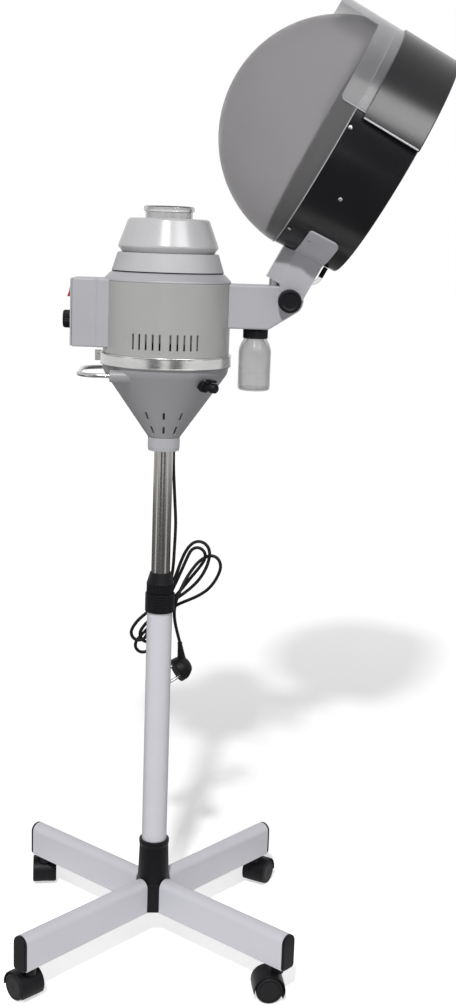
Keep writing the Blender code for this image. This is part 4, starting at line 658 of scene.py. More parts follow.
def cut(bm, cutters):
    """Cuts closed shapes out of another."""
    made = []
    for name, part in (("body", bm), ("cutter", joined(*cutters))):
        bmesh.ops.recalc_face_normals(part, faces=part.faces[:])
        mesh = bpy.data.meshes.new(name)
        part.to_mesh(mesh)
        part.free()
        made.append(bpy.data.objects.new(name, mesh))
        scene.collection.objects.link(made[-1])
    modifier = made[0].modifiers.new("cut", "BOOLEAN")
    modifier.object = made[1]
    modifier.solver = "EXACT"
    bpy.context.view_layer.update()
    whole = bmesh.new()
    whole.from_object(made[0], bpy.context.evaluated_depsgraph_get())
    for obj in made:
        mesh = obj.data
        bpy.data.objects.remove(obj)
        bpy.data.meshes.remove(mesh)
    return whole


print("an oblong with one rounding:", oblong(-2, 2, 1, 0.5))

# %% [markdown]
# The cross base has pressed legs with a half-round top and black caps. A leg could be a bevelled
# box. One flat outline pulled out along its length is simpler, and a turn about the upright axis
# places all four.

# %% Legs
BASE_TURN = 2.6
LEG_HALF, LEG_HEIGHT, LEG_ROUND = 0.0125, 0.053, 0.01245
LEG_START, LEG_END, CAP_END = 0.0253, 0.2677, 0.272
LEG_FOOT, CAP_FOOT = 0.0015, 0.0050
CAP_GAP, CAP_ROUND = 0.0003, 0.0038
ALONG_LEG = about("Z", 90) @ about("X", 90)


def leg_outline(foot):
    return [(-LEG_HALF, 0, foot), (LEG_HALF, 0, foot), (LEG_HALF, LEG_HEIGHT, LEG_ROUND),
            (-LEG_HALF, LEG_HEIGHT, LEG_ROUND)]


SPOKES = {corner: 45 * (2 * k - 1) + BASE_TURN for k, corner in enumerate(CORNERS)}
for corner, angle in SPOKES.items():
    spoke = about("Z", angle) @ ALONG_LEG
    piece(f"leg_tube_{corner}", slab(leg_outline(LEG_FOOT), LEG_START, LEG_END), "white_paint",
          "stand", (f"leg_{corner}",), spoke)
    end_cap = slab(leg_outline(CAP_FOOT), LEG_END + CAP_GAP, CAP_END)
    rim = [e for e in end_cap.edges if all(abs(v.co.z - CAP_END) < MERGE for v in e.verts)]
    rounded(end_cap, rim, CAP_ROUND, 4)
    piece(f"leg_end_cap_{corner}", end_cap, "black_plastic", "stand", (f"leg_cap_{corner}",), spoke)
print("legs at", SPOKES)

# %% [markdown]
# The legs meet in an eight-sided hub with a turned sleeve. The stand tube and the lowered mast go
# down into it, so the block has a real bore.

# %% Hub
HUB_HALF, HUB_TOP = 0.025, 0.046
HUB_BORE, HUB_FLOOR = 0.0193, 0.006
HUB_CORNER = HUB_HALF / math.cos(math.radians(22.5))
eight = arc((0, 0), HUB_CORNER, [22.5 + 45 * k for k in range(8)])
hub_sleeve = turned([
    (HUB_BORE, 0.114), (0.0231, 0.114, 0.0012), (0.0231, 0.108, 0.0006), (0.0223, 0.105, 0.001),
    (0.0242, HUB_TOP), (0.0242, 0.040), (HUB_BORE, 0.040),
], TUBE_STEPS)
hub_bore = drum(HUB_BORE, HUB_FLOOR, 0.060, TUBE_STEPS)
hub = joined(cut(slab(eight, 0.0, HUB_TOP, 0.0012), [hub_bore]), hub_sleeve)
piece("hub_block", hub, "black_plastic", "stand", ("base_hub",), about("Z", BASE_TURN))
print("hub:", len(eight), "sides")

# %% [markdown]
# Each caster is a hooded fender on a stem with a pair of wheels, turned its own way in the
# photograph. Spinning a rounded strip through well over half a turn makes the fender, and one full
# spin makes both wheels and the axle.

# %% Casters
STEM_REACH, TRAIL, WHEEL_RADIUS = 0.252, 0.013, 0.020
CASTER_TURNS = dict(zip(CORNERS, (-175.0, 60.0, 95.0, 134.0)))
WHEEL_IN, WHEEL_OUT = 0.0063, 0.0193
half_wheel = [
    (0.0030, WHEEL_OUT - 0.0006), (0.0034, WHEEL_OUT - 0.0002), (0.0150, WHEEL_OUT),
    (0.0153, WHEEL_OUT - 0.0008), (0.0160, WHEEL_OUT - 0.0008), (0.0163, WHEEL_OUT),
    (WHEEL_RADIUS, WHEEL_OUT, 0.0028), (WHEEL_RADIUS, WHEEL_IN, 0.0008), (0.0130, WHEEL_IN),
    (0.0040, WHEEL_IN),
]
wheel_outline = [(0, WHEEL_OUT - 0.0006)] + half_wheel
wheel_outline += [(p[0], -p[1], *p[2:]) for p in half_wheel[::-1]] + [(0, -WHEEL_OUT + 0.0006)]
axle = along_y(TRAIL, 0, WHEEL_RADIUS)
for corner, angle in SPOKES.items():
    swivel = Matrix.Translation((*arc((0, 0), STEM_REACH, [angle])[0], FLOOR))
    swivel = swivel @ about("Z", CASTER_TURNS[corner])
    piece(f"wheel_pair_{corner}", turned(wheel_outline, 64), "dark_rubber", f"wheels_{corner}",
          (f"caster_wheels_{corner}",), swivel @ axle)
    fender = turned([(0.0215, -0.0193), (0.0232, -0.0193, 0.0007), (0.0236, -0.012),
                     (0.0236, 0.012), (0.0232, 0.0193, 0.0007), (0.0215, 0.0193)], 44,
                    start=-8.0, angle=218.0)
    web = turned([(0.0042, -0.006), (0.0222, -0.006), (0.0222, 0.006), (0.0042, 0.006)], 44,
                 angle=208.0)
    bearing = turned([(0.0043, -0.006), (0.008, -0.006), (0.008, 0.006), (0.0043, 0.006)], 32)
    boss = turned([(0, 0.076), (0.005, 0.076, 0.001), (0.005, 0.0517), (0.009, 0.0517, 0.0008),
                   (0.009, 0.0405), (0, 0.0405)], 32)
    whole = joined(moved(joined(fender, web, bearing), axle), boss)
    piece(f"caster_hood_{corner}", whole, "black_plastic", f"caster_{corner}",
          (f"caster_fender_{corner}",), swivel)
print("casters:", CASTER_TURNS)

# %% [markdown]
# The white stand tube ends in a ribbed socket and a fluted nut, which clamp the chrome mast. Ribs
# are steps in the socket's outline. Flutes run the other way, so they are pressed into the turned
# nut afterwards.

# %% Stand and mast
def fluted(bm, count, depth, low, high, inside):
    """Presses flutes into the part of a turned shape between two heights, outside a radius."""
    for vert in bm.verts:
        reach = math.hypot(vert.co.x, vert.co.y)
        if reach > inside and low < vert.co.z < high:
            wave = 0.5 - 0.5 * math.cos(count * math.atan2(vert.co.y, vert.co.x))
            vert.co.xy *= 1 - depth * wave / reach
    return bm


SOCKET_RIBS, NUT_FLUTES = 7, 24
piece("stand_pipe", pipe(0.0175, 0.019, 0.504, 0.0063, 0.0006, TUBE_STEPS), "white_paint", "stand",
      ("stand_tube",))
socket_outline = [(0.01735, 0.5203), (0.01845, 0.5203, 0.0004), (0.01845, 0.5063),
                  (0.0222, 0.5063, 0.0008)]
for k in range(SOCKET_RIBS):
    top = 0.5030 - 0.0032 * k
    socket_outline += [(0.0222, top), (0.0217, top - 0.0005), (0.0217, top - 0.0013),
                       (0.0222, top - 0.0018)]
socket_outline += [(0.0222, 0.478, 0.0016), (0.0193, 0.478), (0.0193, 0.5043), (0.01735, 0.5043)]
piece("lock_sleeve", turned(socket_outline, TUBE_STEPS), "black_plastic", "stand", ("lock_socket",))
nut = turned([
    (0.0143, 0.5382), (0.0156, 0.5382, 0.0006), (0.0200, 0.5232), (0.0206, 0.5218, 0.0005),
    (0.0206, 0.5202), (0.0204, 0.5198), (0.0204, 0.5140), (0.0204, 0.5084),
    (0.0204, 0.5066, 0.0006), (0.0188, 0.5066), (0.0188, 0.5212), (0.0143, 0.5332),
], SHELL_STEPS)
piece("lock_grip", fluted(nut, NUT_FLUTES, 0.0011, 0.5072, 0.5200, 0.0194), "black_plastic",
      "lock_nut", ("lock_nut",))
piece("mast_pipe", pipe(0.0128, 0.014, 0.7737, 0.198, 0.0005, TUBE_STEPS), "chrome", "mast",
      ("mast_tube",))
print("stand: tube, lock sleeve with", SOCKET_RIBS, "ribs, nut and mast")

# %% [markdown]
# The head is a stack of turned shells. Lowest are the collar and the funnel, whose slots go right
# through the sloping wall. Each cutter is drawn flat and put on the cone by a frame that leans with
# the wall.

# %% Collar and funnel
BODY_RADIUS, BODY_INSIDE = 0.091, 0.0888
CONE_LOW, CONE_HIGH = (0.0235, 0.020), (0.0895, 0.1145)
CONE_LEAN = math.atan2(CONE_HIGH[0] - CONE_LOW[0], CONE_HIGH[1] - CONE_LOW[1])
FUNNEL_LOW, FUNNEL_WALL = 0.0203, 0.0022
SLOT_HEIGHTS, SLOT_ANGLES = (0.033, 0.055), (-30.5, 0.0, 30.5)
HANDLE_HEIGHT, HANDLE_SPREAD = 0.1125, 0.064


def cone_radius(height):
    return CONE_LOW[0] + (height - CONE_LOW[1]) * math.tan(CONE_LEAN)


def on_cone(height, angle):
    """A frame on the funnel: X out along the surface's normal, Z up its slope."""
    return (about("Z", angle) @ Matrix.Translation((cone_radius(height), 0, height))
            @ Matrix.Rotation(CONE_LEAN, 4, "Y"))


piece("collar_ring", turned([
    (0, 0.056), (0.020, 0.056, 0.001), (0.020, 0.020), (0.0235, 0.020, 0.0006),
    (0.0235, 0.0045, 0.0008), (0.0230, 0.0035), (0.0230, 0.0, 0.0012), (0.0143, 0.0),
    (0.0143, 0.052), (0, 0.052),
], TUBE_STEPS), "light_grey", "head", ("tube_collar",), ON_HEAD)
funnel = turned([
    (BODY_INSIDE, 0.1336), (BODY_RADIUS, 0.1336), (BODY_RADIUS, 0.121, 0.004), (*CONE_HIGH, 0.004),
    (cone_radius(FUNNEL_LOW), FUNNEL_LOW, 0.0008),
    (cone_radius(FUNNEL_LOW) - FUNNEL_WALL, FUNNEL_LOW), (0.0873, 0.1145), (BODY_INSIDE, 0.121),
], SHELL_STEPS)
slots = [moved(slab(oblong(-0.010, 0.010, 0.0016), -0.007, 0.007, 0.0006),
               on_cone(height, face + angle))
         for height in SLOT_HEIGHTS for angle in SLOT_ANGLES for face in (-90, 90)]
bosses = [moved(pipe(0.0033, 0.0085, -0.077, -0.046, 0.0012, 40),
                along_x(0, side * HANDLE_SPREAD, HANDLE_HEIGHT)) for side in (-1, 1)]
piece("funnel_shell", joined(cut(funnel, slots), *bosses), "funnel_grey", "head",
      ("funnel_cover",), ON_HEAD)
print("funnel:", len(slots), "slots and", len(bosses), "bosses")

# %% [markdown]
# The housing stands on the funnel, and a steel band with a screwed clasp clamps the two together. A
# shoulder closes the housing. Its vents are upright slits, cut as one Boolean.

# %% Housing, clamp band and shoulder
VENTS_A_SIDE, VENT_FIRST, VENT_STEP = 5, 4.65, 6.2
housing = turned([
    (0.082, 0.244), (BODY_RADIUS, 0.244, 0.0008), (BODY_RADIUS, 0.1339), (BODY_INSIDE, 0.1339),
    (BODY_INSIDE, 0.242), (0.082, 0.242),
], SHELL_STEPS)
vents = [moved(slab(oblong(0.081, 0.101, 0.00135), 0.152, 0.174),
               about("Z", side * (VENT_FIRST + VENT_STEP * k) - 90))
         for side in (-1, 1) for k in range(VENTS_A_SIDE)]
piece("housing_shell", cut(housing, vents), "housing_grey", "head", ("main_housing",), ON_HEAD)
band = turned([
    (0.0913, 0.1421), (0.0944, 0.1421, 0.0008), (0.0948, 0.1408, 0.0004), (0.0944, 0.1395),
    (0.0944, 0.1277), (0.0948, 0.1264, 0.0004), (0.0944, 0.1251, 0.0008), (0.0913, 0.1251),
], SHELL_STEPS)
piece("band_strap", band, "steel", "head", ("clamp_band",), ON_HEAD)
ears = [moved(slab(oblong(-0.104, -0.0945, 0.001), 0.1262, 0.1410, 0.0005),
              Matrix.Translation((0, y, 0))) for y in (0.0245, 0.0315)]
screw = moved(turned([
    (0, 0.0085), (0.0026, 0.0085, 0.0006), (0.0026, 0.0055), (0.0014, 0.0055), (0.0014, -0.0075),
    (0.0026, -0.0075), (0.0026, -0.0098, 0.0006), (0, -0.0098),
], 24), along_y(-0.0995, 0.028, 0.1336))
piece("band_clasp", joined(*ears, screw), "steel", "head", (), ON_HEAD)
piece("shoulder_shell", turned([
    (0.030, 0.2573), (0.080, 0.2573, 0.0035), (BODY_RADIUS, 0.2465, 0.0012), (BODY_RADIUS, 0.2443),
    (0.0858, 0.2443), (0.0858, 0.2466), (0.0778, 0.2551), (0.030, 0.2551),
], SHELL_STEPS), "light_grey", "head", ("shoulder_cover",), ON_HEAD)
print("housing:", len(vents), "vents, band, clasp and shoulder")

# %% [markdown]
# On top stands the water tank: a silver ring, a pale shroud that flares and narrows, and a clear
# jar whose neck and bead show above it. All are turned, with the jar as one wall from the inside of
# its floor to the outside.

# %% Water tank
piece("ring_shell", turned([
    (0.0633, 0.284), (0.072, 0.284, 0.0016), (0.080, 0.2588, 0.0006), (0.080, 0.2585),
    (0.077, 0.2585), (0.077, 0.2576), (0.0748, 0.2576), (0.0748, 0.2585), (0.0698, 0.2818),
    (0.0633, 0.2818),
], SHELL_STEPS), "silver", "head", ("tank_ring",), ON_HEAD)
piece("shroud_shell", turned([
    (0.0349, 0.3318, 0.0006), (0.0572, 0.3318, 0.0036), (0.072, 0.2923, 0.0022),
    (0.0655, 0.2843, 0.0008), (0.0633, 0.2843), (0.0698, 0.2923), (0.0550, 0.3288, 0.002),
    (0.0349, 0.3288),
], SHELL_STEPS), "pearl", "tank", ("tank_shroud",), ON_HEAD)
piece("jar_wall", turned([
    (0, 0.2606), (0.049, 0.2606, 0.004), (0.049, 0.3096, 0.006), (0.0316, 0.3246, 0.005),
    (0.0316, 0.3491, 0.0012), (0.0362, 0.3491, 0.0030), (0.0362, 0.3413, 0.0030),
    (0.0336, 0.3413, 0.0006), (0.0336, 0.3246, 0.005), (0.052, 0.3096, 0.008),
    (0.052, 0.2576, 0.005), (0, 0.2576),
], 96), "clear_glass", "tank", ("glass_jar",), ON_HEAD)
# A black ring fills the groove under the silver ring: painted shade in the seam between ring and
# shoulder.
piece("ring_gasket", turned([
    (0.0772, 0.2574), (0.0799, 0.2574, 0.0003), (0.0799, 0.2584, 0.0003), (0.0772, 0.2584),
], SHELL_STEPS), "dark_rubber", "head", (), ON_HEAD)
print("tank: ring, seam_shade, shroud and jar")

# %% [markdown]
# The control box is folded sheet with soft corners that flares a little where it meets the housing:
# a flat outline, pulled up and rounded, then hollowed and cut to sit on the round wall.

# %% Control box
CASING_HALF, FLANGE_HALF, CASING_WALL = 0.0365, 0.0405, 0.0024
FOLD_START, FOLD_END, FLANGE_END = -0.1010, -0.0968, -0.0600
SEAT_RADIUS, PAST = 0.0913, 0.01
casing_low, casing_high = (list(corner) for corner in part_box("control_box"))


def casing_outline(front, inset):
    side = [(front, CASING_HALF - inset), (FOLD_START, CASING_HALF - inset),
            (FOLD_END, FLANGE_HALF - inset), (FLANGE_END, FLANGE_HALF - inset)]
    return side + [(x, -y) for x, y in side[::-1]]


casing = slab(casing_outline(casing_low[0], 0.0), casing_low[2], casing_high[2], 0.0022)
casing_hollow = slab(casing_outline(casing_low[0] - PAST, CASING_WALL),
                     casing_low[2] + CASING_WALL, casing_high[2] - CASING_WALL)
casing_seat = drum(SEAT_RADIUS, casing_low[2] - PAST, casing_high[2] + PAST, SHELL_STEPS)
piece("control_casing", cut(casing, [casing_hollow, casing_seat]), "light_grey", "head",
      ("control_box",), sharp=30.0)
print("casing from", [round(v, 3) for v in casing_low], "to", [round(v, 3) for v in casing_high])

# %% [markdown]
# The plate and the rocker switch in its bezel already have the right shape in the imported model, so
# they are copies of their solids with rounded edges. The timer knob is turned and fluted, with a
# pointer on its face.

# %% Switch and timer knob
def copied(name):
    """A copy of a CAD node with its flat faces joined."""
    bm = bmesh.new()
    bm.from_mesh(frame["nodes"][name].data)
    bmesh.ops.remove_doubles(bm, verts=bm.verts[:], dist=1e-5)
    bmesh.ops.dissolve_limit(bm, angle_limit=math.radians(1), verts=bm.verts[:], edges=bm.edges[:])
    return bm


piece("control_plate", soften(copied("control_panel"), 0.0008), "light_grey", "head",
      ("control_panel",))
piece("switch_bezel", soften(copied("rocker_bezel"), 0.0005), "black_plastic", "head",
      ("rocker_bezel",))
piece("switch_rocker", soften(copied("power_rocker"), 0.0006), "red", "power_rocker",
      ("power_rocker",))
KNOB_AXIS = along_x(-0.136, 0, HEAD + 0.1865)
KNOB_FLUTES = 24
knob = turned([
    (0, -0.0121), (0.0092, -0.0121, 0.0006), (0.0100, -0.0125), (0.0113, -0.0125, 0.0012),
    (0.0128, -0.0100, 0.0006), (0.0128, -0.0040), (0.0128, -0.0012, 0.0006), (0.0128, -0.0003),
    (0.0033, -0.0003), (0.0033, -0.0113), (0, -0.0113),
], SHELL_STEPS)
knob = fluted(knob, KNOB_FLUTES, 0.0008, -0.0110, -0.0016, 0.0108)
pointer = slab(oblong(-0.0098, -0.0015, 0.0009, 0.0004), -0.0129, -0.0118, 0.0002)
piece("timer_grip", joined(knob, pointer), "black_plastic", "timer_knob", ("timer_knob",),
      KNOB_AXIS)
print("controls: plate, switch and knob with", KNOB_FLUTES, "flutes")

# %% [markdown]
# A bent chrome rod makes the pull handle. It is a curve with a round bevel: straight, a bend,
# straight, a bend.

# %% Pull handle
BEND, BEND_STEPS, ROD_RADIUS = 0.030, 16, 0.003
bend = arc((-0.093, 0.034), BEND, [180 - 90 * k / BEND_STEPS for k in range(BEND_STEPS + 1)])
half_rod = bend + [(-0.0653, HANDLE_SPREAD)]
rod_path = [(x, -y, HEAD + HANDLE_HEIGHT) for x, y in half_rod[::-1]]
rod_path += [(x, y, HEAD + HANDLE_HEIGHT) for x, y in half_rod]
tube("handle_rod", rod_path, ROD_RADIUS, "handle_chrome", "head", ("pull_handle",), 6)
print("handle:", len(rod_path), "points")

# %% [markdown]
# The drain tap is a small turned barrel that stands out of the funnel, with a lever on top. The
# lever is a turned boss and a rounded flat bar in one piece.

# %% Drain tap
TAP_ANGLE = -52
TAP_FRAME = (ON_HEAD @ about("Z", TAP_ANGLE)
             @ Matrix.Translation((cone_radius(0.1098) + 0.0003, 0, 0.102)))
tap = turned([
    (0, 0.0300), (0.0036, 0.0300, 0.0003), (0.0046, 0.0310, 0.0004), (0.0068, 0.0288, 0.0008),
    (0.0068, 0.0246), (0.0064, 0.0243), (0.0064, 0.0236), (0.0068, 0.0233),
    (0.0068, 0.0205, 0.0006), (0.005, 0.0205), (0.005, 0.0085), (0.0078, 0.0085, 0.0010),
    (0.0078, 0.0, 0.0006), (0.004, 0.0), (0.004, -0.016), (0, -0.016),
], 48)
piece("tap_barrel", tap, "black_plastic", "head", ("drain_tap",), TAP_FRAME @ along_x())
lever = joined(turned([(0, 0.0063), (0.0045, 0.0063, 0.0009), (0.0045, 0.0), (0, 0.0)], 32),
               slab(oblong(-0.0022, 0.0155, 0.003, 0.001, 0.0026), 0.0025, 0.0062, 0.0007))
piece("tap_handle", lever, "black_plastic", "tap_lever", ("tap_lever",),
      TAP_FRAME @ Matrix.Translation((0.0145, 0, 0.0053)))
print("tap: barrel and lever")

# %% [markdown]
# The steam arm is a deep box with a round end about the tilt pivot. Its outline is drawn from the
# side, pulled out across its width and rounded, and then cut back where it meets the round housing.

# %% Steam arm
PIVOT_OUT, PIVOT_UP = 0.1735, 0.223
PIVOT = Vector((PIVOT_OUT, 0, HEAD + PIVOT_UP))
ARM_HALF, ARM_END, ARM_STEPS = 0.0248, 0.0205, 20
arm_end = arc((PIVOT_OUT, PIVOT_UP), ARM_END,
              [-50 + 140 * k / ARM_STEPS for k in range(ARM_STEPS + 1)])
arm = slab([(0.070, 0.181), (0.1455, 0.181, 0.003)] + arm_end + [(0.070, 0.2435)],
           -ARM_HALF, ARM_HALF, 0.0028)
arm_seat = drum(SEAT_RADIUS, 0.16, 0.26, SHELL_STEPS)
piece("arm_shell", cut(moved(arm, about("X", 90)), [arm_seat]), "light_grey", "head",
      ("steam_arm",), ON_HEAD, 32.0)
print("arm reaches", round(PIVOT_OUT + ARM_END, 4), "m")

# %% [markdown]
# A milky bottle under the arm catches the water that condenses, and a knob beside the arm clamps
# the hood's tilt. All three are turned. The grips of lid and knob get flutes afterwards.

# %% Bottle and tilt knob
LID_FLUTES, TILT_FLUTES = 40, 32
LID_PLACE = Matrix.Translation((0.1285, 0, HEAD))
lid = turned([
    (0, 0.1807), (0.018, 0.1807, 0.0018), (0.018, 0.1790), (0.018, 0.1688), (0.018, 0.1672, 0.0006),
    (0.0138, 0.1672), (0.0138, 0.1782), (0, 0.1782),
], 160)
piece("bottle_lid", fluted(lid, LID_FLUTES, 0.0006, 0.1678, 0.1795, 0.0172), "black_plastic",
      "head", ("bottle_cap",), LID_PLACE)
bottle = turned([
    (0, 0.0934), (0.0195, 0.0934, 0.003), (0.0221, 0.0974, 0.003), (0.0221, 0.1515, 0.005),
    (0.0121, 0.1655, 0.003), (0.0121, 0.1779), (0.0135, 0.1779, 0.0004), (0.0135, 0.1669),
    (0.0165, 0.1669, 0.0012), (0.0235, 0.1529, 0.006), (0.0235, 0.0920, 0.0042), (0, 0.0920),
], 96)
piece("bottle_wall", bottle, "milky", "bottle", ("condensate_bottle",), LID_PLACE)
tilt = turned([
    (0, 0.0446), (0.0110, 0.0446, 0.001), (0.0122, 0.0456, 0.0006), (0.0165, 0.0456, 0.0024),
    (0.0165, 0.0420), (0.0165, 0.0310), (0.0165, 0.0286, 0.0008), (0.0043, 0.0286),
    (0.0043, 0.0409), (0, 0.0409),
], 160)
piece("tilt_grip", fluted(tilt, TILT_FLUTES, 0.0006, 0.0300, 0.0425, 0.0158), "black_plastic",
      "tilt_knob", ("tilt_knob",), along_y(PIVOT.x, 0, PIVOT.z))
print("bottle, lid with", LID_FLUTES, "flutes and tilt knob with", TILT_FLUTES)

# %% [markdown]
# The hood is a smoke-tinted dome on a black band. A UV sphere, cut by a plane and given its
# thickness, makes the dome. The band is spun about the hood's own axis, which leans on the yoke,
# and a thin pale bead at the dome's polished edge is a painted highlight along that edge.

# %% Dome and band
HOOD_LEAN, AXIS_HEIGHT = 27.9, 0.2275
HOOD = Matrix.Translation(PIVOT) @ about("Y", HOOD_LEAN)
HOOD_AXIS = HOOD @ Matrix.Translation((0, 0, AXIS_HEIGHT))
HOOD_STEPS = 192
SEAM, RIM = -0.060, 0.038
DOME_RADIUS, DOME_WALL, DOME_CENTRE = 0.1665, 0.0024, -0.0535
SKIRT, SKIRT_WALL, SKIRT_TOP = 0.1615, 0.0025, -0.0597
LIP = 0.0045


def band_radius(along):
    return 0.1655 - 0.006 * (along - SEAM) / (RIM - SEAM)


dome = bmesh.new()
bmesh.ops.create_uvsphere(dome, u_segments=160, v_segments=80, radius=DOME_RADIUS)
moved(dome, along_x(DOME_CENTRE))
bmesh.ops.bisect_plane(dome, geom=dome.verts[:] + dome.edges[:] + dome.faces[:],
                       plane_co=(SEAM, 0, 0), plane_no=(1, 0, 0), clear_outer=True)
bmesh.ops.recalc_face_normals(dome, faces=dome.faces[:])
bmesh.ops.solidify(dome, geom=dome.faces[:], thickness=DOME_WALL)
piece("dome_shell", dome, "smoke", "hood", ("hood_dome",), HOOD_AXIS)
piece("band_shell", turned([
    (SKIRT - SKIRT_WALL, -0.076), (SKIRT, -0.076, 0.0006), (SKIRT, SKIRT_TOP),
    (band_radius(SKIRT_TOP), SKIRT_TOP, 0.0008), (band_radius(0.0), 0.0),
    (band_radius(RIM), RIM, 0.0024), (band_radius(RIM) - LIP, RIM, 0.001),
    (band_radius(RIM) - LIP, RIM - 0.002), (band_radius(0.034) - SKIRT_WALL, 0.034),
    (SKIRT - SKIRT_WALL, -0.0572),
], HOOD_STEPS, "X"), "black_gloss", "hood", ("hood_band",), HOOD_AXIS)
# The bead is a painted highlight along the dome's edge.
bead = arc((0.1664, -0.0602), 0.0006, [45 * k for k in range(8)])
piece("dome_edge_highlight", turned(bead, HOOD_STEPS, "X"), "painted_highlight", "hood", (), HOOD_AXIS)
print("hood leans", HOOD_LEAN, "degrees")

# %% [markdown]
# The clear visor is a bent sheet that slides under the black cover, with a tab to pull it by. One
# line is spun into a sheet, the faces beside the tab are deleted, the free corners are rounded, and
# the sheet gets its thickness last.

# %% Visor
VISOR_RADIUS, VISOR_WALL = 0.1672, 0.0016
VISOR_TAB, VISOR_BACK, VISOR_FRONT = -0.142, -0.085, 0.034
VISOR_SPREAD, TAB_SPREAD, VISOR_STEPS = 79.5, 30, 106
VISOR_CORNER = 0.0042
visor = bmesh.new()
line = [visor.verts.new((along, 0, VISOR_RADIUS))
        for along in (VISOR_TAB, VISOR_BACK, -0.058, -0.012, VISOR_FRONT)]
for pair in zip(line, line[1:]):
    visor.edges.new(pair)
bmesh.ops.rotate(visor, verts=visor.verts[:], cent=(0, 0, 0),
                 matrix=Matrix.Rotation(math.radians(-VISOR_SPREAD), 3, "X"))
spun(visor, visor.verts[:] + visor.edges[:], "X", 2 * VISOR_SPREAD, VISOR_STEPS)
beside_tab = []
for face in visor.faces:
    middle = face.calc_center_median()
    if middle.x < VISOR_BACK and abs(math.degrees(math.atan2(middle.y, middle.z))) > TAB_SPREAD:
        beside_tab.append(face)
bmesh.ops.delete(visor, geom=beside_tab, context="FACES")
rounded(visor, [v for v in visor.verts if len(v.link_faces) == 1], VISOR_CORNER, 4, "VERTICES")
bmesh.ops.recalc_face_normals(visor, faces=visor.faces[:])
if visor.faces[0].normal.dot(visor.faces[0].calc_center_median() * Vector((0, 1, 1))) > 0:
    bmesh.ops.reverse_faces(visor, faces=visor.faces[:])
bmesh.ops.solidify(visor, geom=visor.faces[:], thickness=VISOR_WALL)
piece("visor_sheet", visor, "clear", "visor", ("visor",), HOOD_AXIS)
print("visor spans", 2 * VISOR_SPREAD, "degrees")

# %% [markdown]
# The cover is a strip spun over the band, on two rails that leave room for the visor. Thin pale
# rods along the cut edges of cover and visor paint highlights on those edges.

# %% Visor cover
COVER_BACK, COVER_SPREAD, RAIL_SPREAD = -0.047, 82.3, 1.6
COVER_IN, COVER_OUT, RAIL_GAP = 0.1697, 0.1717, 0.0005
cover = turned([(COVER_IN, COVER_BACK), (COVER_OUT, COVER_BACK, 0.0008), (COVER_OUT, RIM, 0.0018),
                (COVER_IN, RIM)], 116, "X", -COVER_SPREAD, 2 * COVER_SPREAD)
rails = [turned([(band_radius(COVER_BACK) + RAIL_GAP, COVER_BACK), (0.1700, COVER_BACK),
                 (0.1700, RIM), (band_radius(RIM) + RAIL_GAP, RIM)], 2, "X", start, RAIL_SPREAD)
         for start in (-COVER_SPREAD, COVER_SPREAD - RAIL_SPREAD)]
soften(cover, 0.0006, 3, 50.0)
piece("cover_shell", joined(cover, *rails), "black_gloss", "hood", ("visor_cover",), HOOD_AXIS)


def highlight_rod(name, places, radius, angle, thick, body):
    """A pale rod along an edge of the hood, a painted highlight on that edge."""
    turn_to = HOOD_AXIS @ about("X", angle)
    tube(name, [turn_to @ Vector((along, 0, radius)) for along in places], thick, "painted_highlight",
         body)


# Each rod is a painted highlight along the cut edge of the cover or the visor.
for side, word in ((1, "near"), (-1, "far")):
    highlight_rod(f"cover_edge_highlight_{word}", (-0.046, 0.0, 0.036), 0.1711, side * (COVER_SPREAD + 0.15),
             0.0013, "hood")
    highlight_rod(f"visor_edge_highlight_{word}", (VISOR_BACK + 0.004, -0.01, 0.030), 0.1669,
             side * (VISOR_SPREAD + 0.25), 0.0009, "visor")
print("cover spans", 2 * COVER_SPREAD, "degrees on", len(rails), "rails")

# %% [markdown]
# The yoke's saddle carries the hood. Its solid is right apart from its corners, so a copy has the
# four corners of the saddle rounded widely and all other edges a little.

# %% Yoke
SADDLE_SPREAD = 37.5
yoke = copied("hood_yoke")
to_axis = HOOD_AXIS.inverted()
for along, rounding in ((-0.029, 0.005), (0.017, 0.010)):
    corners = []
    for edge in yoke.edges:
        ends = [to_axis @ v.co for v in edge.verts]
        turns = [abs(math.degrees(math.atan2(p.y, -p.z))) for p in ends]
        if (all(abs(p.x - along) < 2e-4 for p in ends)
                and all(abs(t - SADDLE_SPREAD) < 0.6 for t in turns)):
            corners.append(edge)
    rounded(yoke, corners, rounding, 8)
    print("saddle corners rounded:", len(corners))
piece("yoke_bracket", soften(yoke, 0.0010, 3, 40.0), "light_grey", "hood", ("hood_yoke",),
      sharp=30.0)

# %% [markdown]
# Small fittings finish the hood: rivets through the dome's edge and the band, screws in the yoke's
# saddle, the steam nozzle inside, and the drain nipple with its clear hose.

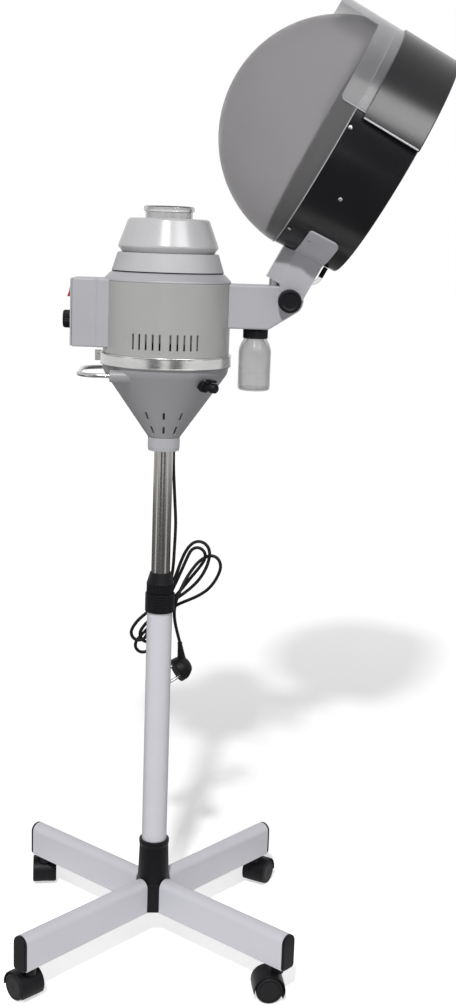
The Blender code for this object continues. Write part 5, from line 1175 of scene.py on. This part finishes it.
# %% Hood fittings
RIVETS = ((-0.055, DOME_RADIUS, 88.7), (-0.054, DOME_RADIUS, 149.0), (-0.018, 0.1629, 119.0),
          (-0.022, 0.1664, 150.0))
RIVET_OUTLINE = [(0, 0.0013), (0.0016, 0.0011, 0.0005), (0.0028, 0.0002), (0.0028, -0.0004),
                 (0, -0.0004)]
rivets = [moved(turned(RIVET_OUTLINE, 24),
                about("X", side * angle) @ Matrix.Translation((along, 0, radius)))
          for side in (-1, 1) for along, radius, angle in RIVETS]
piece("hood_rivets", joined(*rivets), "steel", "hood", (), HOOD_AXIS)
NOZZLE_OUT = -0.006
NOZZLE_LOW = AXIS_HEIGHT - band_radius(NOZZLE_OUT) - 0.018
piece("nozzle_pipe", pipe(0.0098, 0.012, 0.030, 0.0, 0.0007, 48), "aluminium", "hood",
      ("steam_nozzle",), HOOD @ Matrix.Translation((NOZZLE_OUT, 0, NOZZLE_LOW)))
NIPPLE_OUT, NIPPLE_LONG, HOSE_GAP = 0.024, 0.016, 0.0163
NIPPLE_TOP = AXIS_HEIGHT - band_radius(0.0205) - 0.0003
nipple = turned([(0, NIPPLE_LONG), (0.0035, NIPPLE_LONG), (0.0035, 0.0004, 0.0003), (0.003, 0.0),
                 (0, 0.0)], 24)
piece("nipple_stub", nipple, "black_plastic", "hood", ("drain_nipple",),
      HOOD @ Matrix.Translation((NIPPLE_OUT, 0, NIPPLE_TOP - NIPPLE_LONG)))
HOSE = [(0.0, 0.0), (-0.0005, -0.005), (-0.004, -0.010), (-0.010, -0.0135), (-0.018, -0.016),
        (-0.024, -0.0175)]
hose_path = flowing([HOOD @ Vector((NIPPLE_OUT + x, 0, NIPPLE_TOP - HOSE_GAP + z))
                     for x, z in HOSE], 6)
tube("hose_line", hose_path, 0.003, "clear", "hood", ("drain_hose",))
print("fittings:", len(rivets), "rivets and screws")

# %% [markdown]
# A few solids hide inside the shells. They keep their CAD shape and get the finish that they'd
# have.

# %% Hidden pieces
HIDDEN = {"lock_collet": "dark_rubber", "boiler_pot": "aluminium", "heating_element": "steel",
          "timer_unit": "black_plastic", "steam_pipe": "aluminium", "tilt_bolt": "steel"}
for name, finish in HIDDEN.items():
    for place in frame["nodes"][name].material_slots:
        place.material = FINISH[finish]
print("hidden:", len(HIDDEN), "of the solids, pieces made:", len(PIECES))
